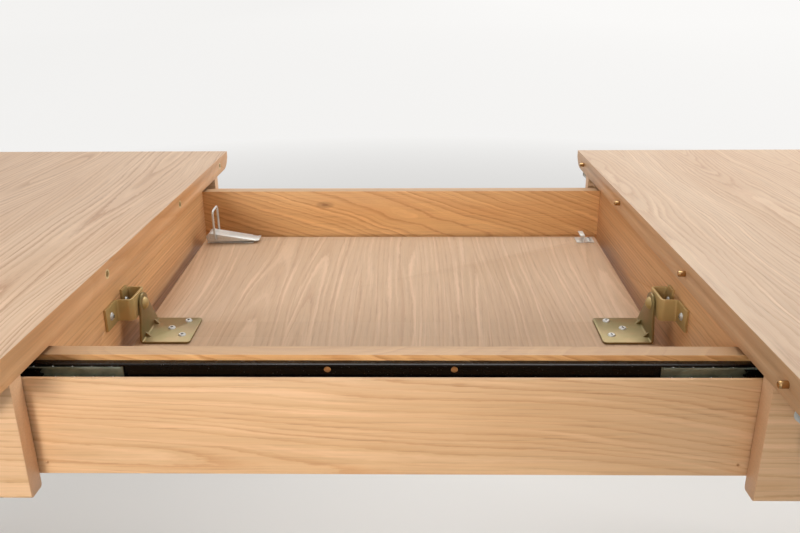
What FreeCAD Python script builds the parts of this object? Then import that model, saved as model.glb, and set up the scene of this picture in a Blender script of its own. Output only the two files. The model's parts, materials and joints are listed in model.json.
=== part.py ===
import FreeCAD, Part
import math
import os

# Split-top extending table. Two halves of the top, each with its own aprons and legs, run apart on ball
# slides along the long sides of a centre frame. The frame holds a well, and a leaf of two halves lies
# folded in it, hung on two pivots. X runs along the table, -Y is the near side, +Z is up, and the origin
# is on the floor under the middle. The table stands as it is used to reach the leaf: pulled open.

Vector = FreeCAD.Vector
X_AXIS = Vector(1, 0, 0)
Y_AXIS = Vector(0, 1, 0)
Z_AXIS = Vector(0, 0, 1)
ORIGIN = Vector(0, 0, 0)

# Whole table
TABLE_WIDTH = 800.0
TABLE_HEIGHT = 750.0
HALF_LENGTH = 650.0
OPEN_GAP = 565.0
LEAF_LENGTH = 549.0
TOP_THICK = 24.0
NOSE_HEIGHT = 9.0
BEVEL_REACH = 26.0
BEVEL_BULGE_SHARE = 0.12

# Clearances and cutting allowance
CUT_OVERRUN = 2.0
FIT = 0.2
RUN_FIT = 0.08
RUN_GAP = 4.7
CLOSED_GAP = 0.4
ALONG_SHARE = 0.5

# Centre frame
FRAME_LENGTH = 880.0
RAIL_HEIGHT = 86.0
RAIL_THICK = 20.0
RAIL_LIP = 3.0
STRIP_THICK = 16.0
WELL_WIDTH = 506.0
BEARER_HEIGHT = 30.0
CROSS_RAIL_THICK = 18.0
CROSS_RAIL_SETBACK = 5.0
CROSS_RAIL_DROP = 12.0
REAR_RAIL_DROP = 10.0
NAIL_HOLE_RADIUS = 1.2
NAIL_HOLE_DEPTH = 6.0
NAIL_HOLE_RISE = 10.0
NAIL_HOLE_X = 275.5

# Ball slides
SLOT_WIDTH = 37.9
SLOT_DEPTH = 27.0
CHANNEL_HEIGHT = 16.0
CHANNEL_DEPTH = 7.8
CHANNEL_SHEET = 1.2
CHANNEL_DROP = 5.0
CHANNEL_HOLE_RADIUS = 2.9
CHANNEL_HOLE_X = 52.0
CHANNEL_SCREW_PITCH = 84.0
CHANNEL_SCREW_COUNT = 3
CHANNEL_SCREW_INSET = 20.0
FLANGE_THICK = 1.6
RACE_DEPTH = 0.5
RUNNER_BACK = 3.6
RUNNER_OUT = 8.6
RUNNER_SHEET = 1.6
RUNNER_FLANGE = 18.0
RUNNER_NOTCH = 10.0
RUNNER_LENGTH = 400.0
RUNNER_SETBACK = 3.0
RUNNER_SCREW_COUNT = 4
RUNNER_SCREW_INSET = 40.0
CAGE_LENGTH = 176.0
CAGE_REACH = 65.8
CAGE_SHEET = 1.2
CAGE_BACK_GAP = 0.4
CAGE_OUT = 8.0
BALL_RADIUS = 1.7
BALL_OUT = 5.4
BALL_PITCH = 16.0

# Aprons, legs and what joins them
APRON_GAP = 1.0
APRON_THICK = 18.0
APRON_HEIGHT = 102.0
APRON_ROUND = 3.0
APRON_END_SET = 0.3
LEG_SIZE = 58.0
LEG_FOOT = 40.0
LEG_PROUD = 2.0
LEG_STRAIGHT = 110.0
LEG_CHAMFER = 16.0
END_OVERHANG = 72.5
GLIDE_THICK = 4.0
GLIDE_RADIUS = 14.0
TENON_LENGTH = 24.0
TENON_THICK = 10.0
TENON_SHOULDER = 12.0
BLOCK_THICK = 26.0
BLOCK_HEIGHT = 60.0
BOLT_RADIUS = 4.0
BOLT_IN_LEG = 26.0
BOLT_SPACING = 32.0
NUT_RADIUS = 7.5
NUT_THICK = 6.5
WASHER_RADIUS = 10.0
WASHER_THICK = 1.6

# Alignment pins and their sockets
PIN_RADIUS = 3.0
PIN_OUT = 7.0
PIN_IN = 16.0
PIN_TIP_ROUND = 1.6
SOCKET_RADIUS = 5.0
SOCKET_BORE = 3.3
SOCKET_LENGTH = 14.0
SOCKET_DEPTH = 12.5
PIN_OUTER_Y = 347.5
PIN_INNER_Y = 127.0

# Folding leaf
PIVOT_DROP = 61.0
LEAF_TILT = 2.6
FOLD_GAP = 1.0
FOLD_EDGE_SET = 0.2
LEAF_REAR_GAP = 21.0
HINGE_X = 170.0
HINGE_WIDTH = 54.0
HINGE_REACH = 28.0
HINGE_SHEET = 1.6
KNUCKLE_RADIUS = 2.2
KNUCKLE_GAP = 0.3
HINGE_PIN_RADIUS = 1.1
HINGE_SCREW_INSET = 8.0

# Pivot fittings
PLATE_WIDTH = 57.0
PLATE_REACH = 52.0
PLATE_SHEET = 2.5
PLATE_CORNER = 4.0
PLATE_EDGE_SET = 6.5
PLATE_SHIFT = 6.0
UPRIGHT_TOP_RADIUS = 13.0
GUSSET_RADIUS = 4.5
GUSSET_SPACING = 26.0
STRAP_SHEET = 2.5
STRAP_BEND = 2.5
STRAP_HEIGHT = 23.0
STRAP_BELOW_PIVOT = 9.0
STRAP_FRONT = 26.0
STRAP_REAR = 12.5
STRAP_FLANGE = 28.0
STRAP_TAB = 20.0
STRAP_TAB_RISE = 3.5
STRAP_SCREW_SET = 15.0
STRAP_TAB_SCREW_SET = 11.0
PIVOT_GAP = 0.6
RIVET_RADIUS = 4.0
RIVET_HEAD_RADIUS = 6.5
RIVET_DOME = 4.0
RIVET_TAIL = 2.0
PLATE_SCREW_X_SHARES = (0.733, 0.471, 0.769)
PLATE_SCREW_Y_SHARES = (0.37, 0.065, -0.215)

# Toggle latches and hooks; U runs from the latch towards the joint line, W away from the wood
LATCH_EDGE = 78.0
LATCH_WALL = 1.2
LATCH_BASE_START = 8.0
LATCH_BASE_END = 72.0
LATCH_BASE_WIDTH = 18.0
EAR_INSET = 0.3
EAR_RADIUS = 3.6
LEVER_PIVOT_U = 66.5
LEVER_PIVOT_W = 8.5
LEVER_END_RADIUS = 6.4
LEVER_TIP_W = 3.4
LEVER_TIP_TURN = 1.6
LEVER_TIP_LENGTH = 5.0
LEVER_CHEEK_START = 12.0
LEVER_SIDE_GAP = 0.5
LEVER_PIN_RADIUS = 1.6
BAIL_PIVOT_U = 60.0
BAIL_PIVOT_W = 7.5
BAIL_ARM = 40.0
BAIL_WIRE_RADIUS = 1.2
BAIL_SIDE_GAP = 1.6
BAIL_CORNER = 5.0
BAIL_FOOT_CORNER = 2.0
CATCH_INSET = 36.0
HOOK_JOINT_GAP = 5.0
HOOK_REACH = 29.0
HOOK_SHEET = 1.5
HOOK_WIDTH = 18.0
HOOK_HEIGHT = 11.0
HOOK_CURL = 6.5
HOOK_SCREW_SPACING = 9.0
HOOK_SCREW_INSET = 6.0

# Wood screws
SCREW_RADIUS = 1.9
SCREW_LENGTH = 14.0
SCREW_HEAD_RADIUS = 4.2
SCREW_HEAD_HEIGHT = 2.4
SMALL_HEAD_RADIUS = 3.0
SMALL_HEAD_HEIGHT = 1.4
SOCKET_RECESS_RADIUS = 1.1
SOCKET_RECESS_DEPTH = 0.9
FLUSH_HEAD_RADIUS = 3.4
JOINT_SCREW_LENGTH = 44.0
JOINT_SCREW_EDGE = 18.0

# Levels and faces worked out from the sizes above
HALF_WIDTH = TABLE_WIDTH / 2
INNER_X = OPEN_GAP / 2
UNDER_Z = TABLE_HEIGHT - TOP_THICK
FRAME_TOP_Z = UNDER_Z - RUN_GAP
FRAME_LOW_Z = FRAME_TOP_Z - RAIL_HEIGHT
FRAME_X = FRAME_LENGTH / 2
WELL_Y = WELL_WIDTH / 2
STRIP_Y = WELL_Y + STRIP_THICK
SLOT_Y = STRIP_Y + SLOT_WIDTH
SLOT_LOW_Z = FRAME_TOP_Z - SLOT_DEPTH
RAIL_Y = SLOT_Y + RAIL_LIP
RAIL_BACK_Y = RAIL_Y - RAIL_THICK
BALL_Y = STRIP_Y + BALL_OUT
CHANNEL_TOP_Z = FRAME_TOP_Z - CHANNEL_DROP
CHANNEL_LOW_Z = CHANNEL_TOP_Z - CHANNEL_HEIGHT
BALL_INSET = FLANGE_THICK - RACE_DEPTH + RUN_FIT + BALL_RADIUS
BALL_LEVELS = (CHANNEL_LOW_Z + BALL_INSET, CHANNEL_TOP_Z - BALL_INSET)
RUNNER_INSET = BALL_INSET + BALL_RADIUS + RUN_FIT - RACE_DEPTH
CROSS_X = INNER_X + CROSS_RAIL_SETBACK
APRON_IN_Y = RAIL_Y + APRON_GAP
APRON_OUT_Y = APRON_IN_Y + APRON_THICK
APRON_LOW_Z = UNDER_Z - APRON_HEIGHT
LEG_OUT_Y = APRON_OUT_Y + LEG_PROUD
LEG_IN_Y = LEG_OUT_Y - LEG_SIZE
OUTER_X = INNER_X + HALF_LENGTH
LEG_OUT_X = OUTER_X - END_OVERHANG
LEG_IN_X = LEG_OUT_X - LEG_SIZE
END_APRON_OUT_X = LEG_OUT_X - LEG_PROUD
END_APRON_IN_X = END_APRON_OUT_X - APRON_THICK
LEAF_X = LEAF_LENGTH / 2
PIVOT_Z = TABLE_HEIGHT - PIVOT_DROP
LEAF_UP_Z = 2 * PIVOT_Z - UNDER_Z
LEAF_SHOW_Z = LEAF_UP_Z - TOP_THICK
FOLD_Z = LEAF_SHOW_Z - FOLD_GAP / 2
LEAF_REAR_Y = WELL_Y - LEAF_REAR_GAP
FOLD_Y = LEAF_REAR_Y - HALF_WIDTH
PIVOT_Y = FOLD_Y / 2
PLATE_Y = PIVOT_Y + PLATE_SHIFT
UPRIGHT_X = LEAF_X - PLATE_EDGE_SET
STRAP_WEB_X = UPRIGHT_X + PIVOT_GAP
LEAF_CATCH_Y = LEAF_REAR_Y - CATCH_INSET
HALF_CATCH_Y = HALF_WIDTH - CATCH_INSET
LEAF_LOW_Z = LEAF_SHOW_Z - FOLD_GAP - TOP_THICK
LEVER_HALF_WIDTH = LATCH_BASE_WIDTH / 2 + LEVER_SIDE_GAP + LATCH_WALL
BAIL_SIDE_V = LEVER_HALF_WIDTH + BAIL_SIDE_GAP + BAIL_WIRE_RADIUS
HOOK_START_U = LATCH_EDGE + HOOK_JOINT_GAP
HOOK_LIP_U = BAIL_PIVOT_U + BAIL_ARM - BAIL_WIRE_RADIUS - FIT - CLOSED_GAP - HOOK_SHEET
HOOK_END_U = LATCH_EDGE + HOOK_REACH


def box(x0, x1, y0, y1, z0, z1):
    """A block between two corners, whichever way round they are given."""
    size = [abs(b - a) for a, b in ((x0, x1), (y0, y1), (z0, z1))]
    low = Vector(min(x0, x1), min(y0, y1), min(z0, z1))
    return Part.makeBox(size[0], size[1], size[2], low)


def rod(point, axis, radius, length):
    """A round bar from a point along an axis."""
    return Part.makeCylinder(radius, length, point, axis)


def prism(points, direction):
    """A straight solid on a closed outline of 3-D points."""
    wire = Part.makePolygon(points + points[:1])
    return Part.Face(wire).extrude(direction)


def flip_x(shape):
    """The same shape at the other end of the table."""
    return shape.mirror(ORIGIN, X_AXIS)


def flip_y(shape):
    """The same shape on the other long side of the table."""
    return shape.mirror(ORIGIN, Y_AXIS)


def front_and_rear(shape):
    """A rear piece and its twin at the front, front first."""
    return flip_y(shape), shape


def drilled(shape, tools):
    """A solid with a list of shapes cut out of it."""
    return shape.cut(tools)


def edges_along(shape, axis):
    """The straight edges of a block that run along an axis."""
    return [e for e in shape.Edges if abs(e.tangentAt(e.FirstParameter).dot(axis)) > ALONG_SHARE]


def group(shapes):
    """Separate solids that share one node."""
    return Part.makeCompound(shapes)


# Edge profile of the top and the leaf


def bevel_edges(nose, foot, bulge):
    """The curved under-bevel as an arc from the nose to the underside, bulging outwards."""
    middle = (nose + foot) / 2 + bulge
    return Part.Arc(nose, middle, foot).toShape()


def edge_profile(inner, outer, top, low, to_point):
    """A closed panel section: square at one end, nosed and bevelled at the other.

    top and low are the show face and the underside, and to_point turns (along, height) into 3-D.
    """
    down = 1 if low > top else -1
    way = 1 if outer > inner else -1
    nose = to_point(outer, top + down * NOSE_HEIGHT)
    foot = to_point(outer - way * BEVEL_REACH, low)
    bulge = (to_point(outer, low) - to_point(outer - way * BEVEL_REACH, top)) * BEVEL_BULGE_SHARE
    corners = [foot, to_point(inner, low), to_point(inner, top), to_point(outer, top), nose]
    edges = [Part.makeLine(a, b) for a, b in zip(corners, corners[1:])]
    return Part.Face(Part.Wire(edges + [bevel_edges(nose, foot, bulge)]))


def in_yz(along, height):
    """A section point for a panel whose long edge runs along X."""
    return Vector(0, along, height)


def in_xz(along, height):
    """A section point for a panel whose end edge runs along Y."""
    return Vector(along, 0, height)


def right_top_blank():
    """Right half of the top: square at the joint, nosed and bevelled on its other three edges."""
    rear = edge_profile(0, HALF_WIDTH, TABLE_HEIGHT, UNDER_Z, in_yz).extrude(X_AXIS * OUTER_X)
    both = rear.fuse(flip_y(rear)).removeSplitter()
    end = edge_profile(INNER_X, OUTER_X, TABLE_HEIGHT, UNDER_Z, in_xz).extrude(Y_AXIS * TABLE_WIDTH)
    end.translate(Y_AXIS * -HALF_WIDTH)
    return both.common(end).removeSplitter()


# Screws


def pan_screw(point, into, length=SCREW_LENGTH, head=SCREW_HEAD_RADIUS, rise=SCREW_HEAD_HEIGHT):
    """A wood screw with a domed head on the surface at point, driven along into."""
    out = into * -1
    shank = rod(point, into, SCREW_RADIUS, length)
    ball = (head ** 2 + rise ** 2) / (2 * rise)
    dome = Part.makeSphere(ball, point + out * (rise - ball))
    head_solid = rod(point, out, head, rise).common(dome)
    recess = rod(point + out * (rise - SOCKET_RECESS_DEPTH), out, SOCKET_RECESS_RADIUS, rise)
    return shank.fuse(head_solid).cut(recess)


def screw_hole(point, into, length=SCREW_LENGTH, before=CUT_OVERRUN):
    """The hole for a screw's shank, starting a little before the surface."""
    return rod(point - into * before, into, SCREW_RADIUS + FIT, length + before + FIT)


def flush_screw(point, into, length, sheet):
    """A countersunk screw whose flat head fills the sheet's countersink."""
    head = Part.makeCone(FLUSH_HEAD_RADIUS, SCREW_RADIUS, sheet, point, into)
    return head.fuse(rod(point, into, SCREW_RADIUS, length))


def countersink(point, into, sheet):
    """The countersunk hole in a sheet for a flush screw."""
    return Part.makeCone(FLUSH_HEAD_RADIUS + FIT, SCREW_RADIUS + FIT, sheet, point, into)


# Centre frame


def channel_screw_points():
    """Where the rear channel is screwed to the strip, at both ends."""
    first = FRAME_X - CHANNEL_SCREW_INSET
    places = [first - CHANNEL_SCREW_PITCH * i for i in range(CHANNEL_SCREW_COUNT)]
    middle = (CHANNEL_LOW_Z + CHANNEL_TOP_Z) / 2
    return [Vector(s * x, STRIP_Y + CHANNEL_SHEET, middle) for s in (-1, 1) for x in places]


def joint_screws():
    """Screws through the rear strip into the ends of the cross rails, with their holes."""
    screws = []
    holes = []
    for side in (-1, 1):
        x = side * (CROSS_X + CROSS_RAIL_THICK / 2)
        for z in (FRAME_LOW_Z + JOINT_SCREW_EDGE, FRAME_LOW_Z + JOINT_SCREW_EDGE * 2):
            at = Vector(x, STRIP_Y, z)
            screws.append(flush_screw(at, Y_AXIS * -1, JOINT_SCREW_LENGTH, SCREW_HEAD_HEIGHT))
            holes.append(countersink(at, Y_AXIS * -1, SCREW_HEAD_HEIGHT))
            holes.append(screw_hole(at, Y_AXIS * -1, JOINT_SCREW_LENGTH, 0))
    return screws, holes


def rear_rail():
    """Outer rail: a board with a rebate for the slide, which leaves a thin lip on its face."""
    board = box(-FRAME_X, FRAME_X, RAIL_BACK_Y, RAIL_Y, FRAME_LOW_Z, FRAME_TOP_Z)
    rebate = box(-FRAME_X - CUT_OVERRUN, FRAME_X + CUT_OVERRUN, RAIL_BACK_Y - CUT_OVERRUN, SLOT_Y,
                 SLOT_LOW_Z, FRAME_TOP_Z + CUT_OVERRUN)
    nails = [rod(Vector(s * NAIL_HOLE_X, RAIL_Y + CUT_OVERRUN, FRAME_LOW_Z + NAIL_HOLE_RISE), Y_AXIS * -1,
                 NAIL_HOLE_RADIUS, NAIL_HOLE_DEPTH + CUT_OVERRUN) for s in (-1, 1)]
    return drilled(board, [rebate] + nails)


def lowered_rear_rail(rail):
    """The rear rail, lower than the front one, so that it stays behind its strip."""
    return rail.cut(box(-FRAME_X - CUT_OVERRUN, FRAME_X + CUT_OVERRUN, RAIL_BACK_Y, RAIL_Y + CUT_OVERRUN,
                        FRAME_TOP_Z - REAR_RAIL_DROP, FRAME_TOP_Z + CUT_OVERRUN))


def rear_strip():
    """Inner strip, the long wall of the well."""
    strip = box(-FRAME_X, FRAME_X, WELL_Y, STRIP_Y, FRAME_LOW_Z, FRAME_TOP_Z)
    holes = [screw_hole(p, Y_AXIS * -1) for p in channel_screw_points()]
    return drilled(strip, holes + joint_screws()[1])


def rear_bearer():
    """Bar that joins strip and rail, below the slide."""
    return box(-FRAME_X, FRAME_X, STRIP_Y, RAIL_BACK_Y, SLOT_LOW_Z - BEARER_HEIGHT, SLOT_LOW_Z)


def strap_screw_points():
    """The screws in the front flange and the rear tab of the right strap, on their faces."""
    z = PIVOT_Z - STRAP_BELOW_PIVOT + STRAP_HEIGHT / 2
    ends = (PIVOT_Y - STRAP_FRONT - STRAP_SCREW_SET, PIVOT_Y + STRAP_REAR - STRAP_TAB_SCREW_SET)
    return [Vector(CROSS_X - STRAP_SHEET, y, z) for y in ends]


def right_cross_rail():
    """End wall of the well, between the two strips."""
    rail = box(CROSS_X, CROSS_X + CROSS_RAIL_THICK, -WELL_Y, WELL_Y,
               FRAME_LOW_Z - CROSS_RAIL_DROP, FRAME_TOP_Z)
    holes = [screw_hole(p, X_AXIS) for p in strap_screw_points()]
    rear = joint_screws()[1]
    return drilled(rail, holes + rear + [flip_y(h) for h in rear])


def ball_races(start, end):
    """Grooves along both rows of balls, to be cut out of the slide members."""
    first = start - CUT_OVERRUN
    length = end + CUT_OVERRUN - first
    return [rod(Vector(first, BALL_Y, z), X_AXIS, BALL_RADIUS + RUN_FIT, length) for z in BALL_LEVELS]


def rear_channel():
    """Outer slide member: a steel channel on edge, its back against the strip."""
    mouth = STRIP_Y + CHANNEL_DEPTH
    outer = box(-FRAME_X, FRAME_X, STRIP_Y, mouth, CHANNEL_LOW_Z, CHANNEL_TOP_Z)
    trough = box(-FRAME_X - CUT_OVERRUN, FRAME_X + CUT_OVERRUN, STRIP_Y + CHANNEL_SHEET, mouth + CUT_OVERRUN,
                 CHANNEL_LOW_Z + FLANGE_THICK, CHANNEL_TOP_Z - FLANGE_THICK)
    middle = (CHANNEL_LOW_Z + CHANNEL_TOP_Z) / 2
    holes = [rod(Vector(s * CHANNEL_HOLE_X, STRIP_Y - CUT_OVERRUN, middle), Y_AXIS,
                 CHANNEL_HOLE_RADIUS, CHANNEL_SHEET + 2 * CUT_OVERRUN) for s in (-1, 1)]
    sinks = [countersink(p, Y_AXIS * -1, CHANNEL_SHEET) for p in channel_screw_points()]
    return drilled(outer, [trough] + ball_races(-FRAME_X, FRAME_X) + holes + sinks)


def right_strap():
    """Bent strap on the cross rail that carries the pivot rivet: front flange, web, inturned rear tab."""
    foot = CROSS_X
    face = foot - STRAP_SHEET
    web = STRAP_WEB_X
    back = web + STRAP_SHEET
    front = PIVOT_Y - STRAP_FRONT
    rear = PIVOT_Y + STRAP_REAR
    low = PIVOT_Z - STRAP_BELOW_PIVOT
    hollows = [(face, front), (back, front + STRAP_SHEET), (back, rear - STRAP_SHEET),
               (face, rear - STRAP_SHEET)]
    bulges = [(foot, front + STRAP_SHEET), (web, front), (web, rear), (foot, rear)]
    outline = [(foot, front - STRAP_FLANGE), (face, front - STRAP_FLANGE), hollows[0], bulges[1], bulges[2],
               bulges[3], (foot, rear - STRAP_TAB), (face, rear - STRAP_TAB), hollows[3], hollows[2],
               hollows[1], bulges[0]]
    strap = prism([Vector(x, y, low) for x, y in outline], Z_AXIS * STRAP_HEIGHT)
    for corners, radius in ((hollows, STRAP_BEND), (bulges, STRAP_BEND + STRAP_SHEET)):
        bends = [e for e in edges_along(strap, Z_AXIS)
                 if any(math.hypot(e.CenterOfMass.x - x, e.CenterOfMass.y - y) < FIT for x, y in corners)]
        strap = strap.makeFillet(radius, bends)
    tab = box(face, foot, rear - STRAP_TAB, rear - STRAP_SHEET - STRAP_BEND, low + STRAP_HEIGHT,
              low + STRAP_HEIGHT + STRAP_TAB_RISE)
    strap = strap.fuse(tab).removeSplitter()
    bore = rod(Vector(web - CUT_OVERRUN, PIVOT_Y, PIVOT_Z), X_AXIS, RIVET_RADIUS + RUN_FIT,
               STRAP_SHEET + 2 * CUT_OVERRUN)
    return drilled(strap, [bore] + [screw_hole(p, X_AXIS) for p in strap_screw_points()])


def frame_screws():
    """Every screw of the frame: slide channels, cross rail joints and pivot straps."""
    rear = [flush_screw(p, Y_AXIS * -1, SCREW_LENGTH, CHANNEL_SHEET) for p in channel_screw_points()]
    rear += joint_screws()[0]
    straps = [pan_screw(p, X_AXIS) for p in strap_screw_points()]
    return group(rear + [flip_y(s) for s in rear] + straps + [flip_x(s) for s in straps])


# Slides between the frame and the halves


def runner_screw_points():
    """Screws of the right rear runner, on the underside of its flange."""
    start = INNER_X + RUNNER_SETBACK + RUNNER_SCREW_INSET
    pitch = (RUNNER_LENGTH - 2 * RUNNER_SCREW_INSET) / (RUNNER_SCREW_COUNT - 1)
    y = STRIP_Y + RUNNER_OUT + (RUNNER_SHEET + RUNNER_FLANGE) / 2
    z = UNDER_Z - RUNNER_SHEET
    return [Vector(start + pitch * i, y, z) for i in range(RUNNER_SCREW_COUNT)]


def right_rear_runner():
    """Inner slide member: a channel between the rows of balls, hung from the top by an angle."""
    start = INNER_X + RUNNER_SETBACK
    end = start + RUNNER_LENGTH
    web = STRIP_Y + RUNNER_OUT
    face = web + RUNNER_SHEET
    low = CHANNEL_LOW_Z + RUNNER_INSET
    high = CHANNEL_TOP_Z - RUNNER_INSET
    bar = box(start, end, STRIP_Y + RUNNER_BACK, face, low, high)
    hollow = box(start - CUT_OVERRUN, end + CUT_OVERRUN, STRIP_Y, web,
                 low + FLANGE_THICK, high - FLANGE_THICK)
    upright = box(start + RUNNER_NOTCH, end, web, face, low, UNDER_Z)
    flange = box(start + RUNNER_NOTCH, end, web, web + RUNNER_FLANGE, UNDER_Z - RUNNER_SHEET, UNDER_Z)
    runner = drilled(bar, [hollow] + ball_races(start, end)).fuse([upright, flange]).removeSplitter()
    return runner.cut([screw_hole(p, Z_AXIS) for p in runner_screw_points()])


def cage_start():
    """The inner end of the right cages."""
    return INNER_X + RUNNER_SETBACK - CAGE_REACH


def ball_places():
    """Ball centres of the right rear slide."""
    count = int(CAGE_LENGTH // BALL_PITCH)
    first = cage_start() + (CAGE_LENGTH - (count - 1) * BALL_PITCH) / 2
    return [Vector(first + BALL_PITCH * i, BALL_Y, z) for i in range(count) for z in BALL_LEVELS]


def right_rear_cage():
    """Pressed strip that spaces the balls: a web with a pierced edge along each row."""
    start = cage_start()
    end = start + CAGE_LENGTH
    back = STRIP_Y + CHANNEL_SHEET + CAGE_BACK_GAP
    face = STRIP_Y + CAGE_OUT
    low, high = BALL_LEVELS
    half = CAGE_SHEET / 2
    outer = box(start, end, back, face, low - half, high + half)
    hollow = box(start - CUT_OVERRUN, end + CUT_OVERRUN, back + CAGE_SHEET, face + CUT_OVERRUN,
                 low + half, high - half)
    pockets = [rod(p - Z_AXIS * BALL_RADIUS, Z_AXIS, BALL_RADIUS + FIT, 2 * BALL_RADIUS)
               for p in ball_places()]
    return drilled(outer, [hollow] + pockets)


def right_balls():
    """The steel balls of both right slides."""
    rear = [Part.makeSphere(BALL_RADIUS, p) for p in ball_places()]
    return group([flip_y(b) for b in rear] + rear)


# Half of the table: top, aprons, legs


def low_rounded(board, axis):
    """An apron with its two lower long edges rounded."""
    middle_z = board.BoundBox.Center.z
    low_edges = [e for e in edges_along(board, axis) if e.CenterOfMass.z < middle_z]
    return board.makeFillet(APRON_ROUND, low_edges)


def right_rear_apron():
    """Long apron of the right half, flush with the joint line, tenoned into its leg."""
    start = INNER_X + APRON_END_SET
    board = box(start, LEG_IN_X, APRON_IN_Y, APRON_OUT_Y, APRON_LOW_Z, UNDER_Z)
    board = low_rounded(board, X_AXIS)
    return board.fuse(right_rear_tenon(0)).removeSplitter()


def right_rear_tenon(play):
    """Tenon of the long apron, or with play its mortise."""
    middle = (APRON_IN_Y + APRON_OUT_Y) / 2
    half = TENON_THICK / 2 + play
    return box(LEG_IN_X - play, LEG_IN_X + TENON_LENGTH + play, middle - half, middle + half,
               APRON_LOW_Z + TENON_SHOULDER - play, UNDER_Z - TENON_SHOULDER + play)


def right_end_tenon(play):
    """Rear tenon of the end apron, or with play its mortise."""
    middle = (END_APRON_IN_X + END_APRON_OUT_X) / 2
    half = TENON_THICK / 2 + play
    return box(middle - half, middle + half, LEG_IN_Y - play, LEG_IN_Y + TENON_LENGTH + play,
               APRON_LOW_Z + TENON_SHOULDER - play, UNDER_Z - TENON_SHOULDER + play)


def right_end_apron():
    """Apron across the outer end, tenoned into both legs."""
    board = box(END_APRON_IN_X, END_APRON_OUT_X, -LEG_IN_Y, LEG_IN_Y, APRON_LOW_Z, UNDER_Z)
    board = low_rounded(board, Y_AXIS)
    rear = right_end_tenon(0)
    return board.fuse([rear, flip_y(rear)]).removeSplitter()


def corner_diagonal():
    """Middle of the leg's chamfered inner corner and the direction from it into the leg."""
    cut = LEG_CHAMFER / 2
    return Vector(LEG_IN_X + cut, LEG_IN_Y + cut, 0), Vector(1, 1, 0).normalize()


def bolt_heights():
    """Levels of the bolts in one corner block."""
    middle = UNDER_Z - BLOCK_HEIGHT / 2
    return [middle - BOLT_SPACING / 2, middle + BOLT_SPACING / 2]


def right_rear_bolts():
    """Leg bolts with washers and nuts at the right rear corner."""
    at, into = corner_diagonal()
    solids = []
    for z in bolt_heights():
        face = Vector(at.x, at.y, z) - into * (BLOCK_THICK + FIT)
        stud_start = face - into * (WASHER_THICK + NUT_THICK)
        stud = rod(stud_start, into, BOLT_RADIUS, WASHER_THICK + NUT_THICK + BLOCK_THICK + BOLT_IN_LEG)
        washer = rod(face, into * -1, WASHER_RADIUS, WASHER_THICK)
        nut_at = face - into * WASHER_THICK
        flat = into.cross(Z_AXIS)
        corners = [nut_at + (flat * math.cos(a) + Z_AXIS * math.sin(a)) * NUT_RADIUS
                   for a in [math.pi / 3 * i for i in range(6)]]
        nut = prism(corners, into * -NUT_THICK)
        solids += [stud, washer.cut(stud), nut.cut(stud)]
    return solids


def bolt_holes():
    """Holes for the right rear leg bolts."""
    at, into = corner_diagonal()
    start = BLOCK_THICK + CUT_OVERRUN
    return [rod(Vector(at.x, at.y, z) - into * start, into, BOLT_RADIUS + FIT,
                start + BOLT_IN_LEG + FIT) for z in bolt_heights()]


def right_rear_leg():
    """Square leg, tapered on its two inner faces, with mortises and a chamfered inner corner."""
    top_z = UNDER_Z
    knee_z = UNDER_Z - LEG_STRAIGHT
    shaft = box(LEG_IN_X, LEG_OUT_X, LEG_IN_Y, LEG_OUT_Y, knee_z, top_z)
    taper = LEG_SIZE - LEG_FOOT
    upper = [Vector(LEG_IN_X, LEG_IN_Y, knee_z), Vector(LEG_OUT_X, LEG_IN_Y, knee_z),
             Vector(LEG_OUT_X, LEG_OUT_Y, knee_z), Vector(LEG_IN_X, LEG_OUT_Y, knee_z)]
    lower = [Vector(LEG_IN_X + taper, LEG_IN_Y + taper, GLIDE_THICK),
             Vector(LEG_OUT_X, LEG_IN_Y + taper, GLIDE_THICK), Vector(LEG_OUT_X, LEG_OUT_Y, GLIDE_THICK),
             Vector(LEG_IN_X + taper, LEG_OUT_Y, GLIDE_THICK)]
    wires = [Part.makePolygon(points + points[:1]) for points in (lower, upper)]
    body = shaft.fuse(Part.makeLoft(wires, True, True)).removeSplitter()
    corner = [Vector(LEG_IN_X, LEG_IN_Y, UNDER_Z - BLOCK_HEIGHT),
              Vector(LEG_IN_X + LEG_CHAMFER, LEG_IN_Y, UNDER_Z - BLOCK_HEIGHT),
              Vector(LEG_IN_X, LEG_IN_Y + LEG_CHAMFER, UNDER_Z - BLOCK_HEIGHT)]
    chamfer = prism(corner, Z_AXIS * (BLOCK_HEIGHT + CUT_OVERRUN))
    return drilled(body, [chamfer, right_rear_tenon(FIT), right_end_tenon(FIT)] + bolt_holes())


def right_rear_glide():
    """Round pad under the leg."""
    middle_x = LEG_OUT_X - LEG_FOOT / 2
    middle_y = LEG_OUT_Y - LEG_FOOT / 2
    return rod(Vector(middle_x, middle_y, 0), Z_AXIS, GLIDE_RADIUS, GLIDE_THICK)


def right_rear_block():
    """Diagonal block that ties leg, long apron and end apron together."""
    at, into = corner_diagonal()
    near = at - into * FIT
    far = at - into * (BLOCK_THICK + FIT)
    ends = []
    for point in (near, far):
        along = Vector(1, -1, 0)
        to_side = APRON_IN_Y - point.y
        to_end = END_APRON_IN_X - point.x
        ends.append((point - along * to_side, point + along * to_end))
    outline = [ends[0][0], ends[0][1], ends[1][1], ends[1][0]]
    points = [Vector(p.x, p.y, UNDER_Z - BLOCK_HEIGHT) for p in outline]
    return drilled(prism(points, Z_AXIS * BLOCK_HEIGHT), bolt_holes())


def pin_levels():
    """Places of the alignment pins along the joint line."""
    z = TABLE_HEIGHT - TOP_THICK / 2
    return [Vector(INNER_X, y, z) for y in (-PIN_OUTER_Y, -PIN_INNER_Y, PIN_INNER_Y, PIN_OUTER_Y)]


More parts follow.
